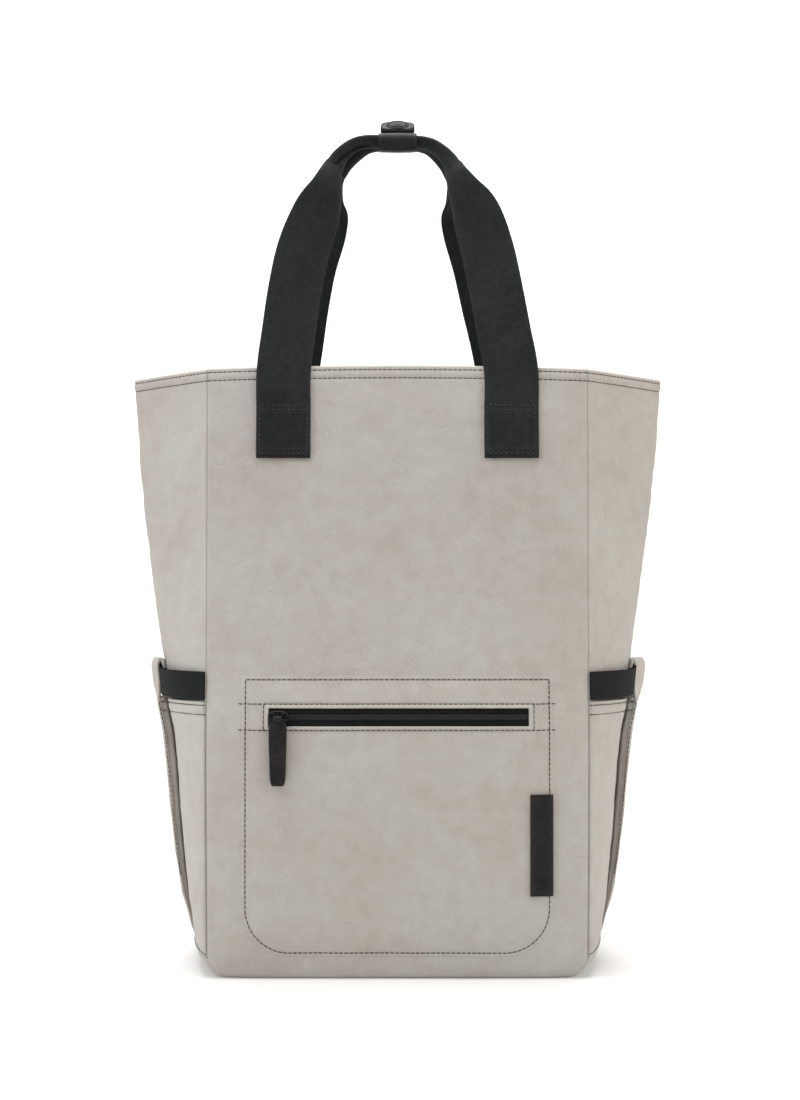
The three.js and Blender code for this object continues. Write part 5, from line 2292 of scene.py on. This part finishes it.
@dataclass
class Studio:
    """Pale sweep, soft lights and a camera straight in front, at about half the bag's height."""

    eye: Triple = (1.8, -1225.0, 294.5)
    sensor: float = 36.0
    lens: float = 54.92
    sweep_half: float = 1250.0
    sweep_front: float = -1300.0
    sweep_back: float = 1400.0
    sweep_radius: float = 900.0
    sweep_top: float = 3600.0
    paper: Triple = (0.76, 0.755, 0.74)
    glow: float = 0.13
    sky: float = 0.26
    lamps: tuple[Lamp, ...] = (
        Lamp("key", (-1500.0, -500.0, 1300.0), 1400.0, 18.0, (0.985, 1.0, 1.0)),
        Lamp("fill", (1500.0, -550.0, 1050.0), 1200.0, 13.5, (1.0, 0.965, 0.91)),
        Lamp("high", (-150.0, -600.0, 1900.0), 900.0, 12.0),
        Lamp("top", (0.0, 250.0, 2300.0), 1800.0, 18.0),
        Lamp("backdrop", (0.0, 700.0, 2300.0), 1600.0, 60.0, aim=(0.0, 2300.0, 500.0)),
    )

    def sweep(self) -> None:
        """Floor that curves up into a backdrop: a quarter circle between straight runs, carried along X."""
        turn = quarter_turn(25)
        wall = self.sweep_back + self.sweep_radius
        y = np.hstack([self.sweep_front, self.sweep_back + self.sweep_radius * np.sin(turn), wall])
        z = np.hstack([0.0, self.sweep_radius * (1 - np.cos(turn)), self.sweep_top])
        x = np.array([-self.sweep_half, self.sweep_half])
        grid = stacked(x[None, :], y[:, None], z[:, None])
        faces = quads_of(np.arange(grid[..., 0].size).reshape(grid.shape[:2]))
        data = bpy.data.meshes.new("sweep")
        data.from_pydata((grid.reshape(-1, 3) * MM).tolist(), [], faces.tolist())
        data.shade_smooth()
        paper = bpy.data.materials.new("sweep_paper")
        paper.use_nodes = True
        surface = {
            "Base Color": (*self.paper, 1.0),
            "Roughness": 0.9,
            "Emission Color": (*WHITE, 1.0),
            "Emission Strength": self.glow,
        }
        Graph(paper.node_tree).feed(paper.node_tree.nodes["Principled BSDF"], surface)
        data.materials.append(paper)
        sweep = linked("sweep", data)

    def camera(self) -> None:
        """Level camera that looks along +Y, with the photograph's field of view and no shift."""
        data = bpy.data.cameras.new("camera")
        data.sensor_fit = "VERTICAL"
        data.sensor_height = self.sensor
        data.lens = self.lens
        camera = linked("camera", data)
        camera.location = np.array(self.eye) * MM
        camera.rotation_euler = (math.pi / 2, 0.0, 0.0)
        bpy.context.scene.camera = camera

    def surroundings(self) -> None:
        """Sky that lights the bag weakly and looks white to the camera."""
        world = bpy.data.worlds.new("studio")
        world.use_nodes = True
        graph = Graph(world.node_tree)
        seen = graph.node("LightPath").outputs["Is Camera Ray"]
        strength = graph.node("Mix", {"Factor": seen, "A": self.sky, "B": 1.0}).outputs["Result"]
        graph.feed(world.node_tree.nodes["Background"], {"Color": (*WHITE, 1.0), "Strength": strength})
        bpy.context.scene.world = world

    def build(self) -> None:
        """Sets up the sky, the sweep, the lights and the camera."""
        bpy.context.scene.view_settings.view_transform = "Standard"
        self.surroundings()
        self.sweep()
        for lamp in self.lamps:
            lamp.build()
        self.camera()


def corners(box: tuple) -> list[list[float]]:
    """Box corners as plain lists."""
    return [[float(value) for value in corner] for corner in box]


def main() -> None:
    """Builds the bag in order, from its body to its straps, and logs each piece's faces and finish."""
    logging.basicConfig(level=logging.INFO, format="%(message)s")
    Studio().build()
    form = BodyForm()
    panels = BodyPanels(form)
    parts = [panels, FrontPocket(panels), ZipRunner(), Handles(panels), HandleWrap()]
    for side in (Side.RIGHT, Side.LEFT):
        parts += [SidePocket(form, side), ShoulderStrap(panels, side)]
    for part in parts:
        for piece in part.build():
            log.info("%s: %d faces, %s", piece.name, len(piece.data.polygons), piece.data.materials[0].name)


if __name__ == "__main__":
    main()
